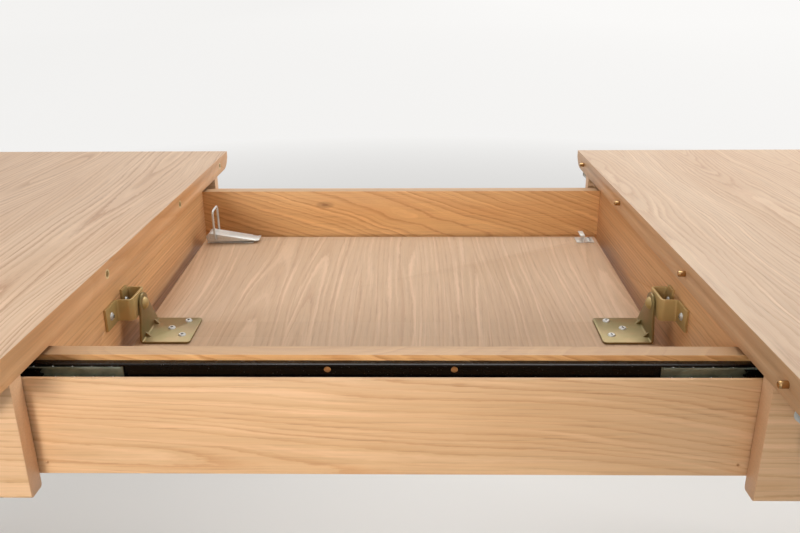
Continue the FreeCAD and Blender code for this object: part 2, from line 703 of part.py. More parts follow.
def alignment_pins():
    """Brass pins in the right half, each with a rounded tip."""
    solids = []
    for p in pin_levels():
        pin = rod(p - X_AXIS * PIN_OUT, X_AXIS, PIN_RADIUS, PIN_OUT + PIN_IN)
        tip = [e for e in pin.Edges if abs(e.CenterOfMass.x - (p.x - PIN_OUT)) < FIT and e.isClosed()]
        solids.append(pin.makeFillet(PIN_TIP_ROUND, tip))
    return group(solids)


def pin_sockets():
    """Brass sleeves in the left half that take the pins."""
    solids = []
    for p in pin_levels():
        sleeve = rod(p, X_AXIS, SOCKET_RADIUS, SOCKET_LENGTH)
        bore = rod(p - X_AXIS * CUT_OVERRUN, X_AXIS, SOCKET_BORE, CUT_OVERRUN + SOCKET_DEPTH)
        solids.append(flip_x(sleeve.cut(bore)))
    return group(solids)


def top_holes(joint_tools, fitting_screws):
    """Holes in the right-hand blank of a half: joint line, slide runners and fittings."""
    rear = [screw_hole(p, Z_AXIS) for p in runner_screw_points()]
    return joint_tools + rear + [flip_y(h) for h in rear] + fitting_screws


# Toggle latches and hooks, in their own U, V, W frame


def uvw(u, v, w):
    """A point of a latch."""
    return Vector(u, v, w)


def lever_top(u):
    """Height of the lever's sloping back at a place along it."""
    rise = LEVER_PIVOT_W + LEVER_END_RADIUS - LEVER_TIP_W
    return LEVER_TIP_W + rise * u / LEVER_PIVOT_U


def latch_base():
    """Screwed-down base plate with two ears, and the lever's pin through them."""
    half = LATCH_BASE_WIDTH / 2
    plate = box(LATCH_BASE_START, LATCH_BASE_END, -half, half, 0, LATCH_WALL)
    ear_out = half - EAR_INSET
    pin_at = uvw(LEVER_PIVOT_U, -LEVER_HALF_WIDTH - FIT, LEVER_PIVOT_W)
    pin = rod(pin_at, Y_AXIS, LEVER_PIN_RADIUS, 2 * (LEVER_HALF_WIDTH + FIT))
    ears = []
    for low, high in ((-ear_out, LATCH_WALL - ear_out), (ear_out - LATCH_WALL, ear_out)):
        post = box(LEVER_PIVOT_U - EAR_RADIUS, LEVER_PIVOT_U + EAR_RADIUS, low, high, 0, LEVER_PIVOT_W)
        eye = rod(uvw(LEVER_PIVOT_U, low, LEVER_PIVOT_W), Y_AXIS, EAR_RADIUS, high - low)
        ears.append(post.fuse(eye))
    holes = [screw_hole(p, Z_AXIS * -1) for p in latch_screw_points()]
    return plate.fuse(ears).removeSplitter().cut([pin] + holes), pin


def latch_screw_points():
    """Screws in the base plate of a latch."""
    first = LATCH_BASE_START + SCREW_HEAD_RADIUS
    return [uvw(first, 0, LATCH_WALL), uvw((first + LEVER_PIVOT_U) / 2, 0, LATCH_WALL)]


def latch_lever():
    """Lever: a sloping back with a cheek each side, turning on the base's pin."""
    back_end = LEVER_PIVOT_U + LEVER_END_RADIUS / 2
    bend = lever_top(LEVER_TIP_LENGTH)
    tip = LEVER_TIP_W + LEVER_TIP_TURN
    slope = [uvw(LEVER_TIP_LENGTH, 0, bend - LATCH_WALL), uvw(0, 0, tip - LATCH_WALL), uvw(0, 0, tip),
             uvw(LEVER_TIP_LENGTH, 0, bend), uvw(LEVER_PIVOT_U, 0, lever_top(LEVER_PIVOT_U)),
             uvw(back_end, 0, lever_top(LEVER_PIVOT_U) - LATCH_WALL),
             uvw(back_end - LATCH_WALL, 0, lever_top(LEVER_PIVOT_U) - 2 * LATCH_WALL),
             uvw(LEVER_PIVOT_U, 0, lever_top(LEVER_PIVOT_U) - LATCH_WALL)]
    inside = LEVER_HALF_WIDTH - LATCH_WALL
    back = prism(slope, Y_AXIS * (2 * inside))
    back.translate(Y_AXIS * -inside)
    side = [uvw(LEVER_CHEEK_START, 0, lever_top(LEVER_CHEEK_START) - LATCH_WALL),
            uvw(LEVER_CHEEK_START, 0, lever_top(LEVER_CHEEK_START)),
            uvw(LEVER_PIVOT_U, 0, lever_top(LEVER_PIVOT_U)),
            uvw(LEVER_PIVOT_U, 0, LEVER_PIVOT_W - LEVER_END_RADIUS)]
    cheeks = []
    for start in (-LEVER_HALF_WIDTH, inside):
        cheek = prism(side, Y_AXIS * LATCH_WALL)
        cheek = cheek.fuse(rod(uvw(LEVER_PIVOT_U, 0, LEVER_PIVOT_W), Y_AXIS, LEVER_END_RADIUS, LATCH_WALL))
        cheek.translate(Y_AXIS * start)
        cheeks.append(cheek)
    span = 2 * (LEVER_HALF_WIDTH + CUT_OVERRUN)
    across = -LEVER_HALF_WIDTH - CUT_OVERRUN
    holes = [rod(uvw(LEVER_PIVOT_U, across, LEVER_PIVOT_W), Y_AXIS, LEVER_PIN_RADIUS + RUN_FIT, span),
             rod(uvw(BAIL_PIVOT_U, across, BAIL_PIVOT_W), Y_AXIS, BAIL_WIRE_RADIUS + RUN_FIT, span)]
    return back.fuse(cheeks).removeSplitter().cut(holes)


def rounded_path(points, radii):
    """A wire of straight runs with a tangent arc at each inner point."""
    edges = []
    start = points[0]
    for before, corner, after, radius in zip(points, points[1:], points[2:], radii):
        to_before = (before - corner).normalize()
        to_after = (after - corner).normalize()
        half_turn = to_before.getAngle(to_after) / 2
        reach = radius / math.tan(half_turn)
        first = corner + to_before * reach
        last = corner + to_after * reach
        inward = (to_before + to_after).normalize()
        crown = corner + inward * (radius / math.sin(half_turn) - radius)
        edges.append(Part.makeLine(start, first))
        edges.append(Part.Arc(first, crown, last).toShape())
        start = last
    edges.append(Part.makeLine(start, points[-1]))
    return Part.Wire(edges)


def latch_bail():
    """Wire loop, standing up, with its two feet turned into the lever's cheeks."""
    foot = LEVER_HALF_WIDTH - LATCH_WALL - FIT
    top = BAIL_PIVOT_W + BAIL_ARM
    points = [uvw(BAIL_PIVOT_U, -foot, BAIL_PIVOT_W), uvw(BAIL_PIVOT_U, -BAIL_SIDE_V, BAIL_PIVOT_W),
              uvw(BAIL_PIVOT_U, -BAIL_SIDE_V, top), uvw(BAIL_PIVOT_U, BAIL_SIDE_V, top),
              uvw(BAIL_PIVOT_U, BAIL_SIDE_V, BAIL_PIVOT_W), uvw(BAIL_PIVOT_U, foot, BAIL_PIVOT_W)]
    foot_round = min(BAIL_FOOT_CORNER, (BAIL_SIDE_V - foot) / 2)
    path = rounded_path(points, [foot_round, BAIL_CORNER, BAIL_CORNER, foot_round])
    ring = Part.Wire(Part.makeCircle(BAIL_WIRE_RADIUS, points[0], Y_AXIS))
    return path.makePipeShell([ring], True, False)


def hook():
    """Keeper plate whose lip stands up and curls over the bail."""
    half = HOOK_WIDTH / 2
    plate = box(HOOK_START_U, HOOK_END_U, -half, half, 0, HOOK_SHEET)
    lip = box(HOOK_LIP_U, HOOK_LIP_U + HOOK_SHEET, -half, half, 0, HOOK_HEIGHT)
    curl = box(HOOK_LIP_U, HOOK_LIP_U + HOOK_CURL, -half, half, HOOK_HEIGHT - HOOK_SHEET, HOOK_HEIGHT)
    holes = [screw_hole(p, Z_AXIS * -1) for p in hook_screw_points()]
    return plate.fuse([lip, curl]).removeSplitter().cut(holes)


def hook_screw_points():
    """Screws in a hook's plate."""
    u = HOOK_START_U + HOOK_SCREW_INSET
    return [uvw(u, s * HOOK_SCREW_SPACING / 2, HOOK_SHEET) for s in (-1, 1)]


def placed(shape, joint_x, side, y, z, up):
    """Moves a latch or hook from its own frame to the joint line at joint_x.

    side is the way along X that U points, and up is 1 where W points up.
    """
    across = side * up
    turn = FreeCAD.Matrix(side, 0, 0, joint_x - side * LATCH_EDGE,
                          0, across, 0, y,
                          0, 0, up, z,
                          0, 0, 0, 1)
    return shape.transformed(turn)


def catch_screws(points):
    """Small screws of a latch or hook in its own frame."""
    down = Z_AXIS * -1
    return [pan_screw(p, down, SCREW_LENGTH, SMALL_HEAD_RADIUS, SMALL_HEAD_HEIGHT) for p in points]


def catch_holes(points):
    """Holes under a latch or hook in its own frame."""
    return [screw_hole(p, Z_AXIS * -1) for p in points]


def right_half_latch(shape, y):
    """A latch piece under the right half, reaching for the joint line."""
    return placed(shape, INNER_X, -1, y, UNDER_Z, -1)


def left_half_hook(shape, y):
    """A hook piece under the left half."""
    return placed(shape, -INNER_X, -1, y, UNDER_Z, -1)


def upper_leaf_latch(shape):
    """A latch piece on the upper leaf half, at its left end."""
    return placed(shape, -LEAF_X, -1, LEAF_CATCH_Y, LEAF_UP_Z, 1)


def lower_leaf_latch(shape):
    """A latch piece under the lower leaf half, at its left end."""
    return placed(shape, -LEAF_X, -1, LEAF_CATCH_Y, LEAF_LOW_Z, -1)


def upper_leaf_hook(shape):
    """A hook piece on the upper leaf half, at its right end."""
    return placed(shape, LEAF_X, -1, LEAF_CATCH_Y, LEAF_UP_Z, 1)


def lower_leaf_hook(shape):
    """A hook piece under the lower leaf half, at its right end."""
    return placed(shape, LEAF_X, -1, LEAF_CATCH_Y, LEAF_LOW_Z, -1)


# Folding leaf


def leaf_panel(show_z, under_z):
    """One half of the leaf: square at the fold, nosed and bevelled at its rear edge."""
    section = edge_profile(FOLD_Y + FOLD_EDGE_SET, LEAF_REAR_Y, show_z, under_z, in_yz)
    panel = section.extrude(X_AXIS * LEAF_LENGTH)
    panel.translate(X_AXIS * -LEAF_X)
    return panel


def hinge_recess(show_z, into):
    """Recesses in a leaf half for the hinge leaves and their knuckles."""
    tools = []
    for x in (-HINGE_X, HINGE_X):
        half = HINGE_WIDTH / 2 + FIT
        tools.append(box(x - half, x + half, FOLD_Y - CUT_OVERRUN, FOLD_Y + HINGE_REACH + FIT,
                         show_z, show_z + into * (HINGE_SHEET + FIT)))
        tools.append(rod(Vector(x - half, FOLD_Y, FOLD_Z), X_AXIS, KNUCKLE_RADIUS + 2 * FIT, 2 * half))
    return tools


def knuckle_spans():
    """Start and end of the three knuckles of a hinge, from its left end."""
    width = HINGE_WIDTH / 3
    return [(i * width + KNUCKLE_GAP / 2, (i + 1) * width - KNUCKLE_GAP / 2) for i in range(3)]


def hinge_screw_points(x, show_z):
    """Countersunk screws in one hinge leaf."""
    y = FOLD_Y + HINGE_REACH - HINGE_SCREW_INSET
    edge = HINGE_WIDTH / 2 - HINGE_SCREW_INSET
    return [Vector(x + s * edge, y, show_z) for s in (-1, 1)]


def hinge_leaves(show_z, into, own):
    """The hinge leaves let into one show face; own picks the knuckles that belong to them."""
    solids = []
    for x in (-HINGE_X, HINGE_X):
        left = x - HINGE_WIDTH / 2
        sheet_z = show_z + into * HINGE_SHEET
        leaf = box(left, left + HINGE_WIDTH, FOLD_Y + KNUCKLE_RADIUS + 2 * FIT, FOLD_Y + HINGE_REACH,
                   show_z, sheet_z)
        for i in own:
            low, high = knuckle_spans()[i]
            at = Vector(left + low, FOLD_Y, FOLD_Z)
            tongue = box(left + low, left + high, FOLD_Y, FOLD_Y + HINGE_REACH / 2, show_z, sheet_z)
            leaf = leaf.fuse([rod(at, X_AXIS, KNUCKLE_RADIUS, high - low), tongue])
        bore = rod(Vector(left - CUT_OVERRUN, FOLD_Y, FOLD_Z), X_AXIS, HINGE_PIN_RADIUS + RUN_FIT,
                   HINGE_WIDTH + 2 * CUT_OVERRUN)
        up = Z_AXIS * into
        sinks = [countersink(p, up, HINGE_SHEET) for p in hinge_screw_points(x, show_z)]
        solids.append(leaf.removeSplitter().cut([bore] + sinks))
    return group(solids)


def hinge_pins():
    """Pins of the fold hinges."""
    return group([rod(Vector(x - HINGE_WIDTH / 2, FOLD_Y, FOLD_Z), X_AXIS, HINGE_PIN_RADIUS, HINGE_WIDTH)
                  for x in (-HINGE_X, HINGE_X)])


def hinge_screws(show_z, into):
    """The screws of one side's hinge leaves, with their holes."""
    up = Z_AXIS * into
    points = [p for x in (-HINGE_X, HINGE_X) for p in hinge_screw_points(x, show_z)]
    screws = [flush_screw(p, up, SCREW_LENGTH, HINGE_SHEET) for p in points]
    return screws, [screw_hole(p, up, SCREW_LENGTH, 0) for p in points]


def plate_screw_points():
    """The three screws of the right pivot plate, on the plate's face."""
    z = LEAF_UP_Z + PLATE_SHEET
    return [Vector(UPRIGHT_X - sx * PLATE_REACH, PLATE_Y + sy * PLATE_WIDTH, z)
            for sx, sy in zip(PLATE_SCREW_X_SHARES, PLATE_SCREW_Y_SHARES)]


def right_pivot_plate():
    """Angle plate on the upper leaf half: a screwed foot, an upright with a round head, two gussets."""
    foot = box(UPRIGHT_X - PLATE_REACH, UPRIGHT_X, PLATE_Y - PLATE_WIDTH / 2, PLATE_Y + PLATE_WIDTH / 2,
               LEAF_UP_Z, LEAF_UP_Z + PLATE_SHEET)
    free = [e for e in edges_along(foot, Z_AXIS) if e.CenterOfMass.x < UPRIGHT_X - PLATE_REACH / 2]
    foot = foot.makeFillet(PLATE_CORNER, free)
    face = UPRIGHT_X - PLATE_SHEET
    half = PLATE_WIDTH / 2
    wing = [Vector(face, PLATE_Y - half, LEAF_UP_Z), Vector(face, PLATE_Y + half, LEAF_UP_Z),
            Vector(face, PIVOT_Y + UPRIGHT_TOP_RADIUS, PIVOT_Z),
            Vector(face, PIVOT_Y - UPRIGHT_TOP_RADIUS, PIVOT_Z)]
    upright = prism(wing, X_AXIS * PLATE_SHEET)
    head = rod(Vector(face, PIVOT_Y, PIVOT_Z), X_AXIS, UPRIGHT_TOP_RADIUS, PLATE_SHEET)
    gussets = []
    for s in (-1, 1):
        at = Vector(face, PLATE_Y + s * GUSSET_SPACING / 2, LEAF_UP_Z + PLATE_SHEET)
        ball = Part.makeSphere(GUSSET_RADIUS, at)
        corner = box(face - GUSSET_RADIUS, face, at.y - GUSSET_RADIUS, at.y + GUSSET_RADIUS,
                     at.z, at.z + GUSSET_RADIUS)
        gussets.append(ball.common(corner))
    plate = foot.fuse([upright, head] + gussets).removeSplitter()
    bore = rod(Vector(face - CUT_OVERRUN, PIVOT_Y, PIVOT_Z), X_AXIS, RIVET_RADIUS,
               PLATE_SHEET + 2 * CUT_OVERRUN)
    return plate.cut([bore] + [screw_hole(p, Z_AXIS * -1) for p in plate_screw_points()])


def right_rivet():
    """Domed pivot rivet through the upright and the strap."""
    face = UPRIGHT_X - PLATE_SHEET
    at = Vector(face, PIVOT_Y, PIVOT_Z)
    shank = rod(at, X_AXIS, RIVET_RADIUS, PLATE_SHEET + PIVOT_GAP + STRAP_SHEET + FIT + RIVET_TAIL)
    ball = (RIVET_HEAD_RADIUS ** 2 + RIVET_DOME ** 2) / (2 * RIVET_DOME)
    dome = Part.makeSphere(ball, at + X_AXIS * (ball - RIVET_DOME))
    head = dome.common(rod(at, X_AXIS * -1, RIVET_HEAD_RADIUS, RIVET_DOME))
    tail_at = Vector(STRAP_WEB_X + STRAP_SHEET + FIT, PIVOT_Y, PIVOT_Z)
    tail = rod(tail_at, X_AXIS, RIVET_HEAD_RADIUS, RIVET_TAIL)
    return shank.fuse([head, tail]).removeSplitter()


def upper_leaf_screws():
    """Every screw of the upper leaf half: pivot plates, latch, hook and fold hinges."""
    plates = [pan_screw(p, Z_AXIS * -1) for p in plate_screw_points()]
    catches = [upper_leaf_latch(s) for s in catch_screws(latch_screw_points())]
    catches += [upper_leaf_hook(s) for s in catch_screws(hook_screw_points())]
    return group(plates + [flip_x(s) for s in plates] + catches + hinge_screws(LEAF_SHOW_Z, 1)[0])


def upper_leaf_holes():
    """The holes for those screws in the upper leaf half."""
    plates = [screw_hole(p, Z_AXIS * -1) for p in plate_screw_points()]
    catches = [upper_leaf_latch(h) for h in catch_holes(latch_screw_points())]
    catches += [upper_leaf_hook(h) for h in catch_holes(hook_screw_points())]
    return plates + [flip_x(h) for h in plates] + catches + hinge_screws(LEAF_SHOW_Z, 1)[1]


def lower_leaf_screws():
    """Every screw of the lower leaf half: latch, hook and fold hinges."""
    catches = [lower_leaf_latch(s) for s in catch_screws(latch_screw_points())]
    catches += [lower_leaf_hook(s) for s in catch_screws(hook_screw_points())]
    return group(catches + hinge_screws(LEAF_SHOW_Z - FOLD_GAP, -1)[0])


def lower_leaf_holes():
    """The holes for those screws in the lower leaf half."""
    catches = [lower_leaf_latch(h) for h in catch_holes(latch_screw_points())]
    catches += [lower_leaf_hook(h) for h in catch_holes(hook_screw_points())]
    return catches + hinge_screws(LEAF_SHOW_Z - FOLD_GAP, -1)[1]


# Assembly


def frame_nodes():
    """Pieces of the centre frame."""
    front_rail, back_rail = front_and_rear(rear_rail())
    front_strip, back_strip = front_and_rear(rear_strip())
    front_bearer, back_bearer = front_and_rear(rear_bearer())
    front_channel, back_channel = front_and_rear(rear_channel())
    cross = right_cross_rail()
    strap = right_strap()
    return {
        "front_rail": front_rail, "rear_rail": lowered_rear_rail(back_rail),
        "front_strip": front_strip, "rear_strip": back_strip,
        "slide_bearers": group([front_bearer, back_bearer]),
        "front_channel": front_channel, "rear_channel": back_channel,
        "left_cross_rail": flip_x(cross), "right_cross_rail": cross,
        "pivot_straps": group([flip_x(strap), strap]),
        "frame_screws": frame_screws(),
    }


def half_nodes(side, turn):
    """Pieces that both halves share; turn carries a right-hand piece to its side."""
    front_apron, rear_apron = front_and_rear(right_rear_apron())
    front_leg, rear_leg = front_and_rear(right_rear_leg())
    block = right_rear_block()
    bolts = right_rear_bolts()
    runner = right_rear_runner()
    glide = right_rear_glide()
    cage = right_rear_cage()
    pieces = {
        "front_apron": front_apron, "rear_apron": rear_apron, "end_apron": right_end_apron(),
        "front_leg": front_leg, "rear_leg": rear_leg,
        "corner_blocks": group(front_and_rear(block)),
        "leg_bolts": group(bolts + [flip_y(b) for b in bolts]),
        "foot_glides": group(front_and_rear(glide)),
        "runners": group(front_and_rear(runner)),
        "ball_cages": group(front_and_rear(cage)),
        "slide_balls": right_balls(),
    }
    return {side + "_" + name: turn(shape) for name, shape in pieces.items()}


def runner_screws():
    """Screws of both right runners."""
    rear = [pan_screw(p, Z_AXIS) for p in runner_screw_points()]
    return [flip_y(s) for s in rear] + rear


def right_half_nodes():
    """The right half, with pins and latches."""
    rows = (-HALF_CATCH_Y, HALF_CATCH_Y)
    holes = [right_half_latch(h, y) for y in rows for h in catch_holes(latch_screw_points())]
    pins = [rod(p - X_AXIS * CUT_OVERRUN, X_AXIS, PIN_RADIUS, PIN_IN + CUT_OVERRUN) for p in pin_levels()]
    screws = [right_half_latch(s, y) for y in rows for s in catch_screws(latch_screw_points())]
    base = group(latch_base())
    nodes = half_nodes("right", lambda shape: shape)
    nodes["right_top"] = drilled(right_top_blank(), top_holes(pins, holes))
    nodes["alignment_pins"] = alignment_pins()
    nodes["right_latch_bases"] = group([right_half_latch(base, y) for y in rows])
    nodes["right_screws"] = group(runner_screws() + screws)
    for name, y in zip(("front", "rear"), rows):
        nodes["right_" + name + "_latch_lever"] = right_half_latch(latch_lever(), y)
        nodes["right_" + name + "_latch_bail"] = right_half_latch(latch_bail(), y)
    return nodes


def left_half_nodes():
    """The left half, with sockets and hooks."""
    rows = (-HALF_CATCH_Y, HALF_CATCH_Y)
    holes = [flip_x(left_half_hook(h, y)) for y in rows for h in catch_holes(hook_screw_points())]
    sockets = [rod(p - X_AXIS * CUT_OVERRUN, X_AXIS, SOCKET_RADIUS, SOCKET_LENGTH + CUT_OVERRUN)
               for p in pin_levels()]
    screws = [left_half_hook(s, y) for y in rows for s in catch_screws(hook_screw_points())]
    nodes = half_nodes("left", flip_x)
    nodes["left_top"] = flip_x(drilled(right_top_blank(), top_holes(sockets, holes)))
    nodes["pin_sockets"] = pin_sockets()
    nodes["left_hooks"] = group([left_half_hook(hook(), y) for y in rows])
    nodes["left_screws"] = group([flip_x(s) for s in runner_screws()] + screws)
    return nodes


def tilted(shape):
    """Leans a piece of the level leaf about the pivots, as it lies in the well."""
    return shape.rotated(Vector(0, PIVOT_Y, PIVOT_Z), X_AXIS, LEAF_TILT)


def leaf_nodes():
    """The folded leaf with its pivots, fold hinges and catches."""
    low_show = LEAF_SHOW_Z - FOLD_GAP
    plate = right_pivot_plate()
    rivet = right_rivet()
    base = group(latch_base())
    upper = drilled(leaf_panel(LEAF_SHOW_Z, LEAF_UP_Z), hinge_recess(LEAF_SHOW_Z, 1) + upper_leaf_holes())
    lower = drilled(leaf_panel(low_show, LEAF_LOW_Z), hinge_recess(low_show, -1) + lower_leaf_holes())
    level = {
        "leaf_upper_panel": upper, "leaf_lower_panel": lower,
        "pivot_plates": group([flip_x(plate), plate]),
        "pivot_rivets": group([flip_x(rivet), rivet]),
        "leaf_upper_screws": upper_leaf_screws(), "leaf_lower_screws": lower_leaf_screws(),
        "fold_hinge_upper_leaves": hinge_leaves(LEAF_SHOW_Z, 1, (0, 2)),
        "fold_hinge_lower_leaves": hinge_leaves(low_show, -1, (1,)),
        "fold_hinge_pins": hinge_pins(),
        "leaf_upper_catches": group([upper_leaf_latch(base), upper_leaf_hook(hook())]),
        "leaf_lower_catches": group([lower_leaf_latch(base), lower_leaf_hook(hook())]),
        "leaf_upper_latch_lever": upper_leaf_latch(latch_lever()),
        "leaf_upper_latch_bail": upper_leaf_latch(latch_bail()),
        "leaf_lower_latch_lever": lower_leaf_latch(latch_lever()),
        "leaf_lower_latch_bail": lower_leaf_latch(latch_bail()),
    }
    return {name: tilted(shape) for name, shape in level.items()}


def main():
    """Builds every node and writes it as its own file."""
    os.makedirs("parts", exist_ok=True)
    nodes = {}
    for made in (frame_nodes(), left_half_nodes(), right_half_nodes(), leaf_nodes()):
        nodes.update(made)
    for name, shape in nodes.items():
        shape.exportStep(os.path.join("parts", name + ".step"))
        print(name, len(shape.Solids), "solids, valid", shape.isValid(), "volume", round(shape.Volume))
    print(len(nodes), "nodes; pivot", PIVOT_Y, PIVOT_Z, "fold", FOLD_Y, FOLD_Z)


main()
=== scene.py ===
"""Looks of the split-top extending table: finishes, softened boards, bent fittings, studio and camera."""
import json
import logging
import math
from contextlib import contextmanager
from dataclasses import dataclass, replace
from enum import Enum
from typing import Any, Callable, Iterator, Optional, Sequence, Union

import bpy
from mathutils import Matrix, Vector


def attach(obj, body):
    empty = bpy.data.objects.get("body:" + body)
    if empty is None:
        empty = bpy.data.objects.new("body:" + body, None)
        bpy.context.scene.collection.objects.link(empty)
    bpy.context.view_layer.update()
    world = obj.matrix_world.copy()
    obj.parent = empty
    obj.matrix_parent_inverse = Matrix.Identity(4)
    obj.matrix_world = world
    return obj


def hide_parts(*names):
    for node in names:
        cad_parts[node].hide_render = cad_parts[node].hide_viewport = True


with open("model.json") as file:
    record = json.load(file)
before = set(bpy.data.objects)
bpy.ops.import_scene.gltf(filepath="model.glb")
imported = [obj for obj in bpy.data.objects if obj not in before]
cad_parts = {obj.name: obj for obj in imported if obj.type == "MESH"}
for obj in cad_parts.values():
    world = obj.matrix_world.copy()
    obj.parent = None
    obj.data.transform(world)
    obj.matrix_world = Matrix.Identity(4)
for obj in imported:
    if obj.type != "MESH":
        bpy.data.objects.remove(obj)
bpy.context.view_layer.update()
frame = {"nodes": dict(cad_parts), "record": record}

log = logging.getLogger("table")

FLAT_ANGLE = math.radians(0.5)
SHARP_ANGLE = math.radians(38)
BOARD_SMOOTH = math.radians(32)
PLATE_SMOOTH = math.radians(35)
SCREW_SMOOTH = math.radians(40)
WIRE_SMOOTH = math.radians(50)
MERGE_REACH = 0.000002
ORIGIN = (0.0, 0.0, 0.0)

Colour = tuple[float, float, float]
Socket = bpy.types.NodeSocket
Material = bpy.types.Material
Piece = bpy.types.Object
Plug = Union[Socket, float, Colour, tuple[float, float, float, float]]


def tint(red: int, green: int, blue: int) -> Colour:
    """Turns a colour as it looks on screen into the linear colour that a shader takes.

    Args:
        red: Red, 0 to 255.
        green: Green, 0 to 255.
        blue: Blue, 0 to 255.

    Returns:
        The linear colour, 0 to 1.
    """
    parts = (value / 255 for value in (red, green, blue))
    return tuple(part / 12.92 if part <= 0.04045 else ((part + 0.055) / 1.055) ** 2.4 for part in parts)


class Grain(Enum):
    """The way the grain of a board runs, as the axes along it, across its face and through it."""

    ALONG_X = ("X", "Z", "Y")
    ALONG_Y = ("Y", "X", "Z")
    ALONG_Y_UPRIGHT = ("Y", "Z", "X")
    ALONG_Z = ("Z", "X", "Y")


class Recipe:
    """A node material that is put together step by step round one Principled shader."""

    def __init__(self, name: str) -> None:
        """Starts an empty recipe.

        Args:
            name: The material's name.
        """
        self.material = bpy.data.materials.new(name)
        self.material.use_nodes = True
        self.tree = self.material.node_tree
        self.shader = self.tree.nodes["Principled BSDF"]

    def plug(self, socket: Socket, value: Plug) -> None:
        """Links a socket, or sets it where the value is plain.

        Args:
            socket: The input socket.
            value: Another node's output, a number or a colour.
        """
        if isinstance(value, Socket):
            self.tree.links.new(value, socket)
        elif isinstance(value, tuple) and socket.type == "RGBA":
            socket.default_value = (*value[:3], 1.0)
        else:
            socket.default_value = value

    def node(self, kind: str, inputs: dict[str, Plug], **settings: Any) -> bpy.types.Node:
        """Adds a node.

        Args:
            kind: The node's type, without its prefix.
            inputs: What goes into each named input.
            settings: Other properties of the node.

        Returns:
            The new node.
        """
        made = self.tree.nodes.new("ShaderNode" + kind)
        for name, value in settings.items():
            setattr(made, name, value)
        for name, value in inputs.items():
            self.plug(made.inputs[name], value)
        return made

    def sum(self, way: str, first: Plug, second: Plug = 0.0) -> Socket:
        """Adds a step of arithmetic.

        Args:
            way: The Math node's operation.
            first: The first number.
            second: The second number, where the operation takes one.

        Returns:
            The result.
        """
        made = self.tree.nodes.new("ShaderNodeMath")
        made.operation = way
        self.plug(made.inputs[0], first)
        self.plug(made.inputs[1], second)
        return made.outputs[0]

    def plus(self, first: Plug, second: Plug) -> Socket:
        """Adds two numbers."""
        return self.sum("ADD", first, second)

    def minus(self, first: Plug, second: Plug) -> Socket:
        """Takes the second number from the first."""
        return self.sum("SUBTRACT", first, second)

    def times(self, first: Plug, second: Plug) -> Socket:
        """Multiplies two numbers."""
        return self.sum("MULTIPLY", first, second)

    def reach(self, first: Plug, second: Plug) -> Socket:
        """The length of a way with two legs at right angles."""
        return self.sum("SQRT", self.plus(self.times(first, first), self.times(second, second)))

    def shifted(self, value: Plug, noise: Plug, by: float, middle: float = 0.5) -> Socket:
        """Shifts a value by noise, which does nothing at its middle."""
        return self.plus(value, self.times(self.minus(noise, middle), by))

    def mix(self, share: Plug, first: Plug, second: Plug, way: str = "MIX") -> Socket:
        """Mixes two colours.

        Args:
            share: How much of the second colour, 0 to 1.
            first: The first colour.
            second: The second colour.
            way: The blend type.

        Returns:
            The mixed colour.
        """
        made = self.tree.nodes.new("ShaderNodeMix")
        made.data_type = "RGBA"
        made.blend_type = way
        self.plug(made.inputs[0], share)
        self.plug(made.inputs[6], first)
        self.plug(made.inputs[7], second)
        return made.outputs[2]

    def shaded(self, colour: Plug, light: Plug) -> Socket:
        """Multiplies a colour by a brightness."""
        return self.mix(1.0, colour, self.point(light, light, light), "MULTIPLY")

    def point(self, x: Plug, y: Plug, z: Plug) -> Socket:
        """Joins three numbers to a point."""
        return self.node("CombineXYZ", {"X": x, "Y": y, "Z": z}).outputs[0]

    def stretched(self, place: Sequence[Plug], scales: Sequence[float]) -> Socket:
        """Joins three numbers to a point, each times its own scale."""
        return self.point(*(self.times(part, scale) for part, scale in zip(place, scales)))

    def noise(self, at: Plug, scale: float = 1.0, detail: float = 2.0, rough: float = 0.5) -> Socket:
        """Adds cloudy noise.

        Args:
            at: The point where it is read.
            scale: Its frequency.
            detail: How many finer layers it has.
            rough: How strong the finer layers are.

        Returns:
            A value round 0.5.
        """
        inputs = {"Vector": at, "Scale": scale, "Detail": detail, "Roughness": rough}
        return self.node("TexNoise", inputs).outputs[0]

    def spread(self, value: Plug, low: float, high: float, to_low: float = 0.0,
               to_high: float = 1.0) -> Socket:
        """Spreads a range of values over another, clamped at both ends.

        Args:
            value: The value.
            low: Start of its range.
            high: End of its range.
            to_low: What the start becomes.
            to_high: What the end becomes.

        Returns:
            The spread value.
        """
        inputs = {"Value": value, "From Min": low, "From Max": high, "To Min": to_low, "To Max": to_high}
        return self.node("MapRange", inputs, clamp=True).outputs[0]

    def object_axes(self) -> dict[str, Socket]:
        """The place on the piece, split by axis."""
        place = self.node("TexCoord", {}).outputs["Object"]
        split = self.node("SeparateXYZ", {"Vector": place})
        return {axis: split.outputs[axis] for axis in "XYZ"}

    def facing(self, axis: str) -> Socket:
        """How squarely the surface faces along an axis of the piece, 0 to 1."""
        normal = self.node("TexCoord", {}).outputs["Normal"]
        split = self.node("SeparateXYZ", {"Vector": normal})
        return self.sum("ABSOLUTE", split.outputs[axis])

    def finish(self, colour: Plug, rough: Plug, height: Plug, depth: float) -> Material:
        """Plugs colour, roughness and relief into the shader.

        Args:
            colour: The surface colour.
            rough: The roughness.
            height: The relief, 0 to 1.
            depth: What a relief of 1 is, in metres.

        Returns:
            The finished material.
        """
        self.plug(self.shader.inputs["Base Color"], colour)
        self.plug(self.shader.inputs["Roughness"], rough)
        bump = self.node("Bump", {"Height": height, "Strength": 1.0, "Distance": depth})
        self.plug(self.shader.inputs["Normal"], bump.outputs[0])
        return self.material


